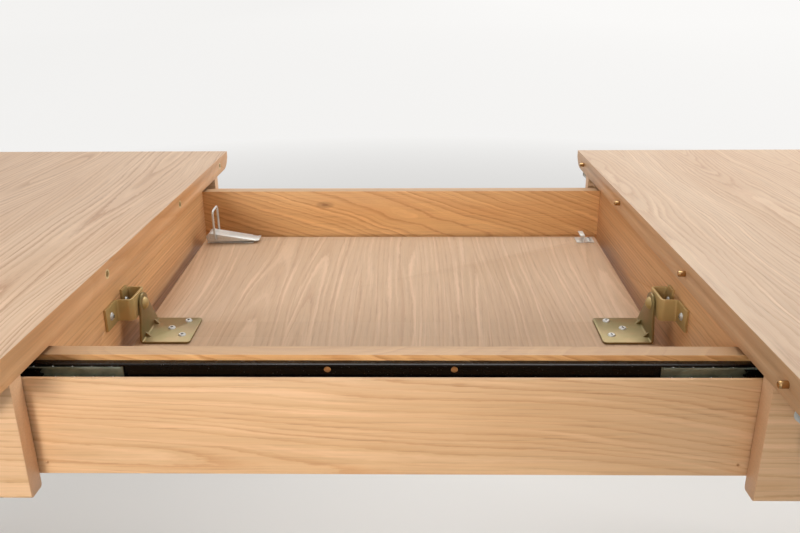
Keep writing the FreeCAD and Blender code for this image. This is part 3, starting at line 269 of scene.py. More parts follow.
# Wood figure. Scales go with metres along, across and through a board.
PORE_SCALES = (14.0, 620.0, 620.0)
CLOUD_SCALES = (2.2, 11.0, 1.0)
RAGGED_SCALES = (70.0, 420.0, 420.0)
SLOW_ALONG, SLOW_ACROSS = 1.9, 3.0
LEAN_ALONG, LEAN_ACROSS = 1.6, 2.0
LEAN_SEED, LEAN_MIDDLE = 9.0, 0.35
SAP_ALONG, SAP_RADIUS = 5.0, 210.0
WAVE_SCALE = 26.0
YEAR_SCALE, YEAR_REACH = 60.0, 0.010
RAGGED_REACH = 0.0022
HEART_SHARE = 0.8
STAVE_SHIFT, STAVE_SCALE, STAVE_SWAY, STAVE_SEED = 0.31, 7.0, 0.05, 0.37
ONE_STAVE = 100.0
STEM_STEP, YEAR_STEP = 3.7, 13.1
RING_START, RING_END, RING_FADE = 0.12, 0.66, 1.3
STREAK_FADE = 0.72
PORE_DARK, SAP_LIGHT, KNOT_DARK = 0.6, 1.16, 0.45
KNOT_FLAT, KNOT_RINGS = 0.4, 9.0
# The second share is how far the second pair of faces takes its colour, which carries painted sheen and
# painted bounce light.
END_SHARE, TONE_AND_LIGHT_SHARE = 0.85, 0.72
WOOD_SPECULAR = 0.45
WOOD_RELIEF, METAL_RELIEF, NYLON_RELIEF = 0.00003, 0.000012, 0.00004
BRUSH_SCALES = (160.0, 2600.0, 900.0)
DUST_SCALE, DUST_GREY = 900.0, tint(190, 188, 184)
NYLON_GRAIN, NYLON_CLOUD = 1400.0, 90.0


@dataclass(frozen=True)
class WoodFinish:
    """Lacquered oak with growth rings cut at a slant, pores and staves of different tone."""

    name: str
    grain: Grain
    pale: Colour
    tone: Colour
    line: Colour
    end: Colour
    face: float = 0.0
    stave: float = 0.0
    span: float = 0.08
    middle: float = 0.0
    ring: float = 0.0052
    contrast: float = 0.75
    figure: float = 0.045
    sway: float = 0.08
    waves: float = 0.008
    curl: float = 3.5
    slant: float = 0.0
    depth: float = 0.008
    pores: float = 0.22
    uneven: float = 0.5
    sheen: float = 0.46
    seed: float = 0.0
    # The second pair of faces and their colour: partly tone, partly painted light (painted sheen, painted
    # warm bounce light).
    tone_and_light_axis: Optional[str] = None
    joint: Optional[Colour] = None
    knot: Optional[tuple[float, float, float]] = None

    def material(self) -> Material:
        """Builds the finish.

        Returns:
            Its material.
        """
        recipe = Recipe(self.name)
        axes = recipe.object_axes()
        place = tuple(axes[axis] for axis in self.grain.value)
        along, across = place[:2]
        index, pick = self.staves(recipe, across)
        radius = self.ring_radius(recipe, place, index, pick)
        lines = self.ring_lines(recipe, radius, index)
        streak = recipe.noise(recipe.stretched(place, PORE_SCALES), rough=0.55)
        pores = recipe.spread(streak, 0.30, 0.44, 1.0, 0.0)
        pores = recipe.times(pores, recipe.spread(lines, 0.0, 0.5, 0.25, 1.0))
        share = recipe.spread(streak, 0.3, 0.7, self.contrast, self.contrast * STREAK_FADE)
        share = recipe.times(lines, share)
        cloud = recipe.noise(recipe.stretched(place, CLOUD_SCALES), detail=3.0, rough=0.55)
        ground = recipe.mix(recipe.spread(cloud, 0.32, 0.68), self.pale, self.tone)
        luck = recipe.node("SeparateColor", {"Color": pick}).outputs[2]
        ground = recipe.mix(recipe.times(luck, self.uneven), ground, self.tone)
        colour = recipe.mix(share, ground, self.line)
        dark = tuple(part * PORE_DARK for part in self.line)
        colour = recipe.mix(recipe.times(pores, self.pores), colour, dark)
        stem = recipe.point(recipe.times(along, SAP_ALONG), recipe.times(radius, SAP_RADIUS), self.seed)
        sap = recipe.spread(recipe.noise(stem), 0.52, 0.72, 0.0, 0.6)
        colour = recipe.mix(sap, colour, tuple(min(part * SAP_LIGHT, 1.0) for part in self.pale))
        colour = recipe.shaded(colour, recipe.spread(streak, 0.25, 0.75, 0.94, 1.05))
        colour = self.other_faces(recipe, colour, streak)
        if self.knot:
            colour = self.with_knot(recipe, colour, along, across)
        rough = recipe.spread(streak, 0.2, 0.8, self.sheen - 0.05, self.sheen + 0.08)
        worn = recipe.plus(recipe.times(share, 0.5), recipe.times(pores, 0.6))
        recipe.shader.inputs["Specular IOR Level"].default_value = WOOD_SPECULAR
        return recipe.finish(colour, rough, recipe.minus(1.0, worn), WOOD_RELIEF)

    def staves(self, recipe: Recipe, across: Plug) -> tuple[Plug, Socket]:
        """Splits the width into glued staves.

        Args:
            recipe: The material.
            across: The place across the grain.

        Returns:
            The stave's number and its own random colour.
        """
        shifted = recipe.plus(across, self.seed * STAVE_SHIFT)
        if self.stave:
            sway = recipe.noise(recipe.point(recipe.times(across, STAVE_SCALE), self.seed, 0.0), detail=0.0)
            shifted = recipe.plus(shifted, recipe.times(sway, STAVE_SWAY))
        index = recipe.sum("FLOOR", recipe.sum("DIVIDE", shifted, self.stave or ONE_STAVE))
        pick = recipe.node("TexWhiteNoise", {"W": recipe.plus(index, self.seed + STAVE_SEED)},
                           noise_dimensions="1D")
        return index, pick.outputs["Color"]

    def ring_radius(self, recipe: Recipe, place: Sequence[Plug], index: Plug, pick: Socket) -> Socket:
        """How far a point is from the heart of its stem, which wanders along the board.

        Args:
            recipe: The material.
            place: The place along the grain, across it and through the board.
            index: The stave's number.
            pick: The stave's random colour.

        Returns:
            The distance in metres.
        """
        along, across, through = place
        split = recipe.node("SeparateColor", {"Color": pick})
        far = recipe.plus(along, recipe.times(index, STEM_STEP))
        slow = recipe.point(recipe.times(far, SLOW_ALONG), recipe.times(across, SLOW_ACROSS), self.seed)
        slow = recipe.noise(slow, detail=1.0, rough=0.4)
        lean = recipe.point(recipe.times(far, LEAN_ALONG), self.seed + LEAN_SEED,
                            recipe.times(across, LEAN_ACROSS))
        lean = recipe.noise(lean, detail=1.0, rough=0.4)
        width = self.stave or self.span
        heart = recipe.times(recipe.minus(split.outputs[0], 0.5), width * HEART_SHARE)
        middle, side = self.middle, across
        if self.stave:
            middle = recipe.times(recipe.plus(index, 0.5), self.stave)
            side = recipe.plus(across, self.seed * STAVE_SHIFT)
        side = recipe.minus(recipe.minus(side, middle), heart)
        side = recipe.shifted(side, slow, self.sway)
        side = recipe.plus(side, recipe.times(along, -self.slant))
        deep = recipe.minus(recipe.sum("ABSOLUTE", through), self.face)
        deep = recipe.plus(deep, recipe.times(split.outputs[1], self.depth))
        deep = recipe.shifted(deep, lean, self.figure, LEAN_MIDDLE)
        waves = recipe.noise(recipe.stretched(place, (self.curl, WAVE_SCALE, WAVE_SCALE)))
        radius = recipe.shifted(recipe.reach(side, deep), waves, self.waves)
        years = recipe.noise(recipe.point(recipe.times(radius, YEAR_SCALE), self.seed, index), detail=1.0)
        radius = recipe.shifted(radius, years, YEAR_REACH)
        ragged = recipe.noise(recipe.stretched(place, RAGGED_SCALES), rough=0.6)
        return recipe.shifted(radius, ragged, RAGGED_REACH)

    def ring_lines(self, recipe: Recipe, radius: Plug, index: Plug) -> Socket:
        """The dark early wood of each growth ring: a sharp start that fades out.

        Args:
            recipe: The material.
            radius: The distance from the heart.
            index: The stave's number.

        Returns:
            Its strength, 0 to 1.
        """
        rings = recipe.sum("DIVIDE", radius, self.ring)
        saw = recipe.sum("FRACT", rings)
        fade = recipe.sum("POWER", recipe.spread(saw, RING_START, RING_END, 1.0, 0.0), RING_FADE)
        line = recipe.times(fade, recipe.spread(saw, 0.0, RING_START))
        year = recipe.plus(recipe.sum("FLOOR", rings), recipe.times(index, YEAR_STEP))
        luck = recipe.node("TexWhiteNoise", {"W": year}, noise_dimensions="1D").outputs["Value"]
        return recipe.times(line, recipe.spread(luck, 0.0, 1.0, 0.2, 1.0))

    def other_faces(self, recipe: Recipe, colour: Plug, streak: Plug) -> Socket:
        """Gives the sawn ends their own plainer colour, and a second pair of faces a colour that is partly
        their own tone and partly painted light: painted sheen on the strips' tops, painted warm bounce light
        on the tops' edges.

        Args:
            recipe: The material.
            colour: The colour of the long faces.
            streak: Fine streaks along the grain.

        Returns:
            The colour of all faces.
        """
        light = recipe.spread(streak, 0.25, 0.75, 0.92, 1.05)
        faces = [(self.grain.value[0], self.end, END_SHARE)]
        # Painted light: the second pair of faces gets painted sheen on the strips' tops and painted warm
        # bounce light on the tops' edges.
        if self.joint and self.tone_and_light_axis:
            faces.append((self.tone_and_light_axis, self.joint, TONE_AND_LIGHT_SHARE))
        for axis, plain, most in faces:
            share = recipe.spread(recipe.facing(axis), 0.55, 0.85, 0.0, most)
            colour = recipe.mix(share, colour, recipe.shaded(plain, light))
        return colour

    def with_knot(self, recipe: Recipe, colour: Plug, along: Plug, across: Plug) -> Socket:
        """Sets a small knot into the colour.

        Args:
            recipe: The material.
            colour: The colour without it.
            along: The place along the grain.
            across: The place across the grain.

        Returns:
            The colour with it.
        """
        at_along, at_across, size = self.knot
        side = recipe.sum("DIVIDE", recipe.minus(along, at_along), size)
        rise = recipe.sum("DIVIDE", recipe.minus(across, at_across), size * KNOT_FLAT)
        reach = recipe.reach(side, rise)
        ring = recipe.sum("SINE", recipe.times(reach, KNOT_RINGS))
        body = recipe.spread(reach, 0.3, 1.3, 0.75, 0.0)
        body = recipe.times(body, recipe.spread(ring, -1.0, 1.0, 0.75, 1.0))
        return recipe.mix(body, colour, tuple(part * KNOT_DARK for part in self.line))


@dataclass(frozen=True)
class MetalFinish:
    """Plated, painted or turned metal with cloudy tone, fine scratches and worn gloss."""

    name: str
    colour: Colour
    second: Colour
    rough: float
    metallic: float = 1.0
    cloud: float = 60.0
    scratch: float = 0.06
    dust: float = 0.0
    specular: float = 0.5

    def material(self) -> Material:
        """Builds the finish.

        Returns:
            Its material.
        """
        recipe = Recipe(self.name)
        axes = tuple(recipe.object_axes().values())
        place = recipe.point(*axes)
        cloud = recipe.noise(place, self.cloud, 3.0, 0.55)
        brushed = recipe.noise(recipe.stretched(axes, BRUSH_SCALES))
        colour = recipe.mix(recipe.spread(cloud, 0.35, 0.65), self.colour, self.second)
        if self.dust:
            specks = recipe.noise(place, DUST_SCALE, 1.0, 0.4)
            colour = recipe.mix(recipe.spread(specks, 0.72, 0.8, 0.0, self.dust), colour, DUST_GREY)
        rough = recipe.plus(recipe.spread(cloud, 0.3, 0.7, self.rough - 0.05, self.rough + 0.07),
                            recipe.spread(brushed, 0.3, 0.7, 0.0, self.scratch))
        recipe.shader.inputs["Metallic"].default_value = self.metallic
        recipe.shader.inputs["Specular IOR Level"].default_value = self.specular
        return recipe.finish(colour, rough, brushed, METAL_RELIEF)


@dataclass(frozen=True)
class PlasticFinish:
    """Moulded nylon with a fine spark-eroded grain."""

    name: str
    colour: Colour
    rough: float = 0.5

    def material(self) -> Material:
        """Builds the finish.

        Returns:
            Its material.
        """
        recipe = Recipe(self.name)
        place = recipe.point(*recipe.object_axes().values())
        grain = recipe.noise(place, NYLON_GRAIN, rough=0.6)
        lift = recipe.spread(recipe.noise(place, NYLON_CLOUD), 0.3, 0.7, 0.85, 1.15)
        rough = recipe.spread(grain, 0.3, 0.7, self.rough - 0.06, self.rough + 0.08)
        return recipe.finish(recipe.shaded(self.colour, lift), rough, grain, NYLON_RELIEF)


Finish = Union[WoodFinish, MetalFinish, PlasticFinish]

OAK_END = tint(204, 160, 120)
# The tops' edge faces get a more orange colour: partly tone, partly painted warm bounce light.
LEFT_TOP_OAK = WoodFinish(
    "oak_left_top", Grain.ALONG_Y, tint(219, 189, 159), tint(206, 170, 136), tint(170, 124, 88),
    tint(214, 176, 138), face=0.75, stave=0.125, ring=0.0055, contrast=1.0, seed=3.0, figure=0.07, sway=0.10,
    waves=0.011, tone_and_light_axis="X", joint=tint(226, 168, 112))
RIGHT_TOP_OAK = WoodFinish(
    "oak_right_top", Grain.ALONG_Y, tint(224, 195, 165), tint(213, 179, 146), tint(188, 142, 108),
    tint(214, 176, 138), face=0.75, stave=0.150, ring=0.0047, contrast=0.95, seed=8.0, waves=0.015, curl=7.0,
    figure=0.08, tone_and_light_axis="X", joint=tint(218, 170, 122))
LEAF_OAK = WoodFinish(
    "oak_leaf", Grain.ALONG_Y, tint(208, 176, 145), tint(194, 160, 127), tint(174, 134, 102),
    tint(200, 160, 122), face=0.652, stave=0.072, ring=0.0060, contrast=0.55, seed=11.0, pores=0.14,
    uneven=0.8, sheen=0.58, figure=0.03, waves=0.010, tone_and_light_axis="X", joint=tint(190, 146, 106))
RAIL_OAK = WoodFinish(
    "oak_rail", Grain.ALONG_X, tint(222, 182, 140), tint(212, 167, 121), tint(190, 134, 84), OAK_END,
    face=0.31, ring=0.0048, seed=5.0, figure=0.05, waves=0.012, slant=-0.10, middle=0.640, span=0.02)
# The strip's top and bottom faces get a paler, greyer colour: painted sheen.
STRIP_OAK = WoodFinish(
    "oak_strip", Grain.ALONG_X, tint(223, 176, 120), tint(209, 154, 96), tint(180, 119, 64), OAK_END,
    face=0.253, ring=0.0070, contrast=0.85, seed=7.0, figure=0.09, waves=0.014, curl=9.0, slant=-0.42,
    middle=0.69, span=0.03, knot=(-0.110, 0.701, 0.012), tone_and_light_axis="Z", joint=tint(187, 153, 119))
CROSS_OAK = WoodFinish(
    "oak_cross_rail", Grain.ALONG_Y_UPRIGHT, tint(234, 187, 137), tint(224, 172, 119), tint(190, 134, 86),
    OAK_END, face=0.2875, ring=0.0044, contrast=0.9, seed=15.0, figure=0.02, sway=0.015, waves=0.004,
    middle=0.56)
APRON_OAK = WoodFinish(
    "oak_apron", Grain.ALONG_X, tint(224, 184, 143), tint(214, 170, 125), tint(192, 140, 92),
    tint(230, 184, 142), face=0.329, seed=21.0, figure=0.04, waves=0.010, middle=0.65)
END_APRON_OAK = replace(
    APRON_OAK, name="oak_end_apron", grain=Grain.ALONG_Y_UPRIGHT, end=OAK_END, face=0.86, seed=23.0)
LEG_OAK = WoodFinish(
    "oak_leg", Grain.ALONG_Z, tint(228, 187, 145), tint(218, 172, 126), tint(195, 142, 96), OAK_END,
    face=0.3, contrast=0.7, seed=27.0, figure=0.03, span=0.07)
RAW_WOOD = WoodFinish(
    "raw_wood", Grain.ALONG_X, tint(206, 166, 122), tint(196, 152, 106), tint(170, 122, 80),
    tint(180, 138, 98), ring=0.0075, contrast=0.6, seed=33.0, sheen=0.66)
BLACK_STEEL = MetalFinish("black_steel", tint(6, 6, 7), tint(11, 11, 12), 0.22, 0.0, 40.0, 0.05, 0.3, 0.2)
GREY_STEEL = MetalFinish("grey_steel", tint(150, 162, 150), tint(118, 131, 120), 0.30, 0.35, 70.0, 0.10)
BALL_STEEL = MetalFinish("ball_steel", tint(238, 238, 236), tint(230, 230, 228), 0.10, 0.85, 300.0, 0.02)
# One yellow zinc plating in two copies: the plates' copy darker, as painted shade against the lamp's
# reflection in their feet; the straps' and rivets' copy lighter, as painted highlight for their bends.
GOLD_ZINC_PAINTED_SHADE = MetalFinish("gold_zinc", tint(140, 115, 77), tint(130, 117, 75), 0.31, 0.55, 34.0, 0.10)
STRAP_ZINC_PAINTED_HIGHLIGHT = MetalFinish("strap_zinc_painted_highlight", tint(190, 158, 104), tint(178, 154, 100), 0.36, 0.4, 34.0, 0.10)
BRIGHT_ZINC = MetalFinish("bright_zinc", tint(216, 217, 213), tint(200, 201, 197), 0.30, 0.35, 90.0, 0.10)
SCREW_ZINC = MetalFinish("screw_zinc", tint(198, 197, 192), tint(172, 171, 166), 0.36, 0.8, 420.0, 0.10)
# Dark colour for the faces of the cross recesses: painted shade inside the recesses.
PAINTED_SHADE_RECESS = MetalFinish("painted_shade_recess", tint(58, 54, 50), tint(44, 41, 38), 0.55, 0.2, 300.0, 0.05)
BRASS = MetalFinish("brass", tint(214, 188, 132), tint(198, 168, 108), 0.24, 0.95, 120.0, 0.08)
PIN_BRASS = MetalFinish("pin_brass", tint(190, 154, 108), tint(172, 134, 88), 0.15, 1.0, 120.0, 0.06)
PALE_BRASS = MetalFinish("pale_brass", tint(232, 214, 170), tint(222, 200, 152), 0.3, 0.3, 120.0, 0.08)
NYLON = PlasticFinish("brown_nylon", tint(70, 56, 46))


class Bench:
    """Where pieces are dressed and made: it knows the CAD nodes, their bodies and their slots."""

    def __init__(self) -> None:
        """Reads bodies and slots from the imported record."""
        record = frame["record"]
        self.nodes: dict[str, Piece] = frame["nodes"]
        self.body_of = {n: body for body, names in record["behaviour"]["bodies"].items() for n in names}
        self.slot_of = {part["node"]: part["material_slot"] for part in record["subparts"]}
        self.made: dict[str, Material] = {}

    def material(self, finish: Finish) -> Material:
        """Gives a finish's material, built at its first use and then shared.

        Args:
            finish: The finish.

        Returns:
            The material.
        """
        if finish.name not in self.made:
            self.made[finish.name] = finish.material()
        return self.made[finish.name]

    def dress(self, finish: Finish, *names: str) -> None:
        """Gives CAD nodes a finish.

        Args:
            finish: The finish.
            names: The nodes.
        """
        material = self.material(finish)
        for name in names:
            slots = self.nodes[name].data.materials
            slots.clear()
            slots.append(material)
            log.info("dressed %s in %s", name, finish.name)

    def alone(self, piece: Piece) -> None:
        """Makes a piece the only selected and the active one."""
        bpy.ops.object.select_all(action="DESELECT")
        piece.select_set(True)
        bpy.context.view_layer.objects.active = piece

    @contextmanager
    def editing(self, piece: Piece, wanted: Optional[Callable[[Vector], bool]] = None) -> Iterator[None]:
        """Opens a piece in edit mode with all of it selected, or some vertices and the edges between them.

        Args:
            piece: The piece, in object mode.
            wanted: Tells from its place whether a vertex is wanted.
        """
        mesh = piece.data
        if wanted:
            for vertex in mesh.vertices:
                vertex.select = wanted(vertex.co)
            for edge in mesh.edges:
                edge.select = all(mesh.vertices[end].select for end in edge.vertices)
            for face in mesh.polygons:
                face.select = False
            bpy.context.tool_settings.mesh_select_mode = (True, True, False)
        self.alone(piece)
        bpy.ops.object.mode_set(mode="EDIT")
        if not wanted:
            bpy.ops.mesh.select_all(action="SELECT")
        yield
        bpy.ops.object.mode_set(mode="OBJECT")

    def modify(self, piece: Piece, kind: str, **settings: Any) -> None:
        """Gives a piece a modifier and applies it.

        Args:
            piece: The piece.
            kind: The modifier's type.
            settings: Its properties.
        """
        modifier = piece.modifiers.new(kind, kind)
        for name, value in settings.items():
            setattr(modifier, name, value)
        self.alone(piece)
        bpy.ops.object.modifier_apply(modifier=modifier.name)

    def soften(self, finish: Finish, arris: float, *names: str) -> None:
        """Replaces CAD boards by copies whose sharp edges are eased.

        Args:
            finish: The finish of the boards.
            arris: How far each edge is eased, in metres.
            names: The nodes.
        """
        for name in names:
            piece = self.copied(name, "_eased")
            with self.editing(piece):
                bpy.ops.mesh.dissolve_limited(angle_limit=FLAT_ANGLE)
            self.modify(piece, "BEVEL", width=arris, segments=2, limit_method="ANGLE",
                        angle_limit=SHARP_ANGLE, miter_outer="MITER_ARC")
            bpy.ops.object.shade_smooth_by_angle(angle=BOARD_SMOOTH)
            self.settle(piece, finish, name)

    def fatten(self, finish: Finish, by: float, *names: str) -> None:
        """Replaces CAD wires by rounder ones of a little more thickness.

        Args:
            finish: The finish of the wires.
            by: How far the surface moves out, in metres.
            names: The nodes.
        """
        for name in names:
            piece = self.copied(name, "_wire")
            with self.editing(piece):
                bpy.ops.transform.shrink_fatten(value=by)
            bpy.ops.object.shade_smooth_by_angle(angle=WIRE_SMOOTH)
            self.settle(piece, finish, name)

    def block(self, *size: float) -> Piece:
        """Adds a block with its middle at the origin.

        Args:
            size: Its size along each axis, in metres.

        Returns:
            The block.
        """
        bpy.ops.object.select_all(action="DESELECT")
        bpy.ops.mesh.primitive_cube_add(size=1.0, location=ORIGIN)
        block = bpy.context.object
        with self.editing(block):
            bpy.ops.transform.resize(value=size)
        return block

    def copied(self, name: str, ending: str) -> Piece:
        """Copies a CAD node's mesh into a new piece and merges its loose triangles.

        Args:
            name: The node.
            ending: What its name gets at the end.

        Returns:
            The new piece.
        """
        piece = bpy.data.objects.new(name + ending, self.nodes[name].data.copy())
        bpy.context.scene.collection.objects.link(piece)
        with self.editing(piece):
            bpy.ops.mesh.customdata_custom_splitnormals_clear()
            bpy.ops.mesh.remove_doubles(threshold=MERGE_REACH)
        return piece

    def settle(self, piece: Piece, finish: Finish, node: str) -> None:
        """Dresses a new piece, and makes it ride and stand for its CAD node.

        Args:
            piece: The piece.
            finish: Its finish.
            node: The CAD node, which gives the body that moves it.
        """
        piece.data.materials.clear()
        piece.data.materials.append(self.material(finish))
        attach(piece, self.body_of[node])
        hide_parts(node)
        log.info("made %s on %s", piece.name, self.body_of[node])


@dataclass
class CentreFrame:
    """Rails, strips, cross rails and bearers round the well, with the outer slide members."""

    bench: Bench
    rail_arris: float = 0.0006
    strip_arris: float = 0.0012
    channel_arris: float = 0.0004

    def build(self) -> None:
        """Eases the edges of the boards and channels, and finishes the rest."""
        self.bench.soften(RAIL_OAK, self.rail_arris, "front_rail", "rear_rail")
        self.bench.soften(STRIP_OAK, self.strip_arris, "front_strip", "rear_strip")
        self.bench.soften(CROSS_OAK, self.rail_arris, "left_cross_rail", "right_cross_rail")
        self.bench.soften(BLACK_STEEL, self.channel_arris, "front_channel", "rear_channel")
        self.bench.dress(RAW_WOOD, "slide_bearers")


@dataclass
class TableHalf:
    """One half of the table: top, aprons, legs and what is screwed to them."""

    bench: Bench
    side: str
    top_finish: WoodFinish
    top_arris: float = 0.0008
    apron_arris: float = 0.0008
    leg_arris: float = 0.0012
    cage_arris: float = 0.0002

    def named(self, *endings: str) -> list[str]:
        """Node names of this half."""
        return [self.side + "_" + ending for ending in endings]

    def build(self) -> None:
        """Eases the edges of the boards, legs and cages, and finishes the rest."""
        self.bench.soften(self.top_finish, self.top_arris, *self.named("top"))
        self.bench.soften(APRON_OAK, self.apron_arris, *self.named("front_apron", "rear_apron"))
        self.bench.soften(END_APRON_OAK, self.apron_arris, *self.named("end_apron"))
        self.bench.soften(LEG_OAK, self.leg_arris, *self.named("front_leg", "rear_leg"))
        self.bench.soften(GREY_STEEL, self.cage_arris, *self.named("ball_cages"))
        self.bench.dress(RAW_WOOD, *self.named("corner_blocks"))
        self.bench.dress(BLACK_STEEL, *self.named("runners"))
        self.bench.dress(BALL_STEEL, *self.named("slide_balls"))
        self.bench.dress(NYLON, *self.named("foot_glides"))


@dataclass
class FoldingLeaf:
    """The two halves of the leaf and their fold hinges."""

    bench: Bench
    panel_arris: float = 0.0008
    hinge_arris: float = 0.0003

    def build(self) -> None:
        """Eases the edges of the panels and hinges, and finishes the hinge pins."""
        self.bench.soften(LEAF_OAK, self.panel_arris, "leaf_upper_panel", "leaf_lower_panel")
        self.bench.soften(BRASS, self.hinge_arris, "fold_hinge_upper_leaves", "fold_hinge_lower_leaves")
        self.bench.dress(BRASS, "fold_hinge_pins")


@dataclass
class PivotFittings:
    """Bent plates on the leaf, straps on the cross rails and the rivets that they turn on."""

    bench: Bench
    pivot_y: float = -0.084
    pivot_z: float = 0.689
    tilt: float = 2.6
    upright_x: float = 0.268
    foot_z: float = 0.652
    reach: float = 0.052
    width: float = 0.057
    middle_y: float = -0.078
    sheet: float = 0.0025
    head: float = 0.0115
    bend: float = 0.0028
    corner: float = 0.004
    rib_reach: float = 0.0066
    rib_width: float = 0.0034
    rib_spacing: float = 0.030
    rib_sunk: float = 0.0008
    rib_foot: float = 0.0006
    rib_taper: float = 0.35
    rib_arris: float = 0.0007
    plate_arris: float = 0.0005
    strap_arris: float = 0.0004
    rivet_extra: float = 0.0004
    near: float = 0.001
    hair: float = 0.0001
    head_turns: tuple[float, ...] = (22.5, 45.0, 67.5, 85.0)

    def blank(self) -> Piece:
        """Folds the right plate's middle surface out of a sheet: foot, bend, upright with a round head.

        Returns:
            The plate without thickness.
        """
        bpy.ops.object.select_all(action="DESELECT")
        bpy.ops.mesh.primitive_plane_add(size=1.0, location=ORIGIN)
        plate = bpy.context.object
        plate.name = "pivot_plates_bent"
        face_x = self.upright_x - self.sheet / 2
        low = self.foot_z + self.sheet / 2
        foot = self.reach - self.sheet / 2
        with self.bench.editing(plate):
            bpy.ops.transform.resize(value=(foot, self.width, 1.0))
            bpy.ops.transform.translate(value=(face_x - foot / 2, self.middle_y, low))
        steps = [(self.pivot_z - low, self.pivot_y, self.head)]
        for turn in (math.radians(degrees) for degrees in self.head_turns):
            steps.append((self.pivot_z - low + self.head * math.sin(turn), self.pivot_y,
                          self.head * math.cos(turn)))
        rise, middle, half = 0.0, self.middle_y, self.width / 2
        with self.bench.editing(plate, lambda at: at.x > face_x - self.near):
            for new_rise, new_middle, new_half in steps:
                bpy.ops.mesh.extrude_region_move(
                    TRANSFORM_OT_translate={"value": (0.0, new_middle - middle, new_rise - rise)})
                bpy.ops.transform.resize(value=(1.0, new_half / half, 1.0),
                                         center_override=(face_x, new_middle, low + new_rise))
                rise, middle, half = new_rise, new_middle, new_half
        with self.bench.editing(plate, lambda at: max(abs(at.x - face_x), abs(at.z - low)) < self.hair):
            bpy.ops.mesh.bevel(offset=self.bend, offset_type="OFFSET", segments=5, affect="EDGES")
        with self.bench.editing(plate, lambda at: at.x < face_x - self.reach + self.corner):
            bpy.ops.mesh.bevel(offset=self.corner, segments=4, affect="VERTICES")
        return plate

    def rib(self, y: float) -> Piece:
        """Presses one stiffening rib across the inside of the right plate's bend.

        Args:
            y: Where it stands.

        Returns:
            The rib, a wedge with eased edges.
        """
        inner_x = self.upright_x - self.sheet
        low = self.foot_z + self.sheet
        half = self.rib_reach / 2
        rib = self.bench.block(self.rib_reach, self.rib_width, self.rib_reach)
        with self.bench.editing(rib):
            bpy.ops.transform.translate(
                value=(inner_x - half + self.rib_sunk, y, low + half - self.rib_sunk))
        with self.bench.editing(rib, lambda at: at.x < inner_x - half and at.z > low + half):
            bpy.ops.transform.translate(value=(0.0, 0.0, -self.rib_reach + self.rib_foot))
        with self.bench.editing(rib, lambda at: at.x > inner_x - half and at.z > low + half):
            bpy.ops.transform.resize(value=(1.0, self.rib_taper, 1.0))
        self.bench.modify(rib, "BEVEL", width=self.rib_arris, segments=3, limit_method="NONE")
        return rib

    def plates(self) -> None:
        """Makes both plates: sheet thickness, ribs, the mirrored copy, and the leaf's tilt."""
        plate = self.blank()
        self.bench.modify(plate, "SOLIDIFY", thickness=self.sheet, offset=0.0)
        self.bench.modify(plate, "BEVEL", width=self.plate_arris, segments=2, limit_method="ANGLE")
        ribs = [self.rib(self.middle_y + side * self.rib_spacing / 2) for side in (-1, 1)]
        self.bench.alone(plate)
        for rib in ribs:
            rib.select_set(True)
        bpy.ops.object.join()
        with self.bench.editing(plate):
            bpy.ops.mesh.normals_make_consistent(inside=False)
            bpy.ops.mesh.duplicate()
            bpy.ops.transform.resize(value=(-1.0, 1.0, 1.0), center_override=ORIGIN)
            bpy.ops.mesh.flip_normals()
            bpy.ops.mesh.select_all(action="SELECT")
            bpy.ops.transform.rotate(value=-math.radians(self.tilt), orient_axis="X",
                                     center_override=(0.0, self.pivot_y, self.pivot_z))
        bpy.ops.object.shade_smooth_by_angle(angle=PLATE_SMOOTH)
        self.bench.settle(plate, GOLD_ZINC_PAINTED_SHADE, "pivot_plates")

    def build(self) -> None:
        """Makes the plates, eases the straps and rounds the rivets."""
        self.plates()
        self.bench.soften(STRAP_ZINC_PAINTED_HIGHLIGHT, self.strap_arris, "pivot_straps")
        self.bench.fatten(STRAP_ZINC_PAINTED_HIGHLIGHT, self.rivet_extra, "pivot_rivets")


@dataclass
class JointFittings:
    """Pins, sockets and toggle latches at the joints."""

    bench: Bench
    top_latches: tuple[str, ...] = ("right_front_latch", "right_rear_latch")
    leaf_latches: tuple[str, ...] = ("leaf_upper_latch", "leaf_lower_latch")
    sheet_arris: float = 0.0003
    wire_extra: float = 0.00028

    def build(self) -> None:
        """Eases the stampings and rounds the wires, but for those that close over a hook."""
        self.bench.soften(BRIGHT_ZINC, self.sheet_arris, "left_hooks", "right_latch_bases",
                          "leaf_upper_catches", "leaf_lower_catches")
        for latch in self.top_latches + self.leaf_latches:
            self.bench.soften(BRIGHT_ZINC, self.sheet_arris, latch + "_lever")
        for latch in self.leaf_latches:
            self.bench.fatten(BRIGHT_ZINC, self.wire_extra, latch + "_bail")
        self.bench.dress(BRIGHT_ZINC, *(latch + "_bail" for latch in self.top_latches))
        self.bench.dress(PIN_BRASS, "alignment_pins")
        self.bench.dress(PALE_BRASS, "pin_sockets")


@dataclass(frozen=True)
class Head:
    """Where a screw's head is: the middle of its top, the way that it looks, and whether it is domed."""

    top: Vector
    out: Vector
    domed: bool


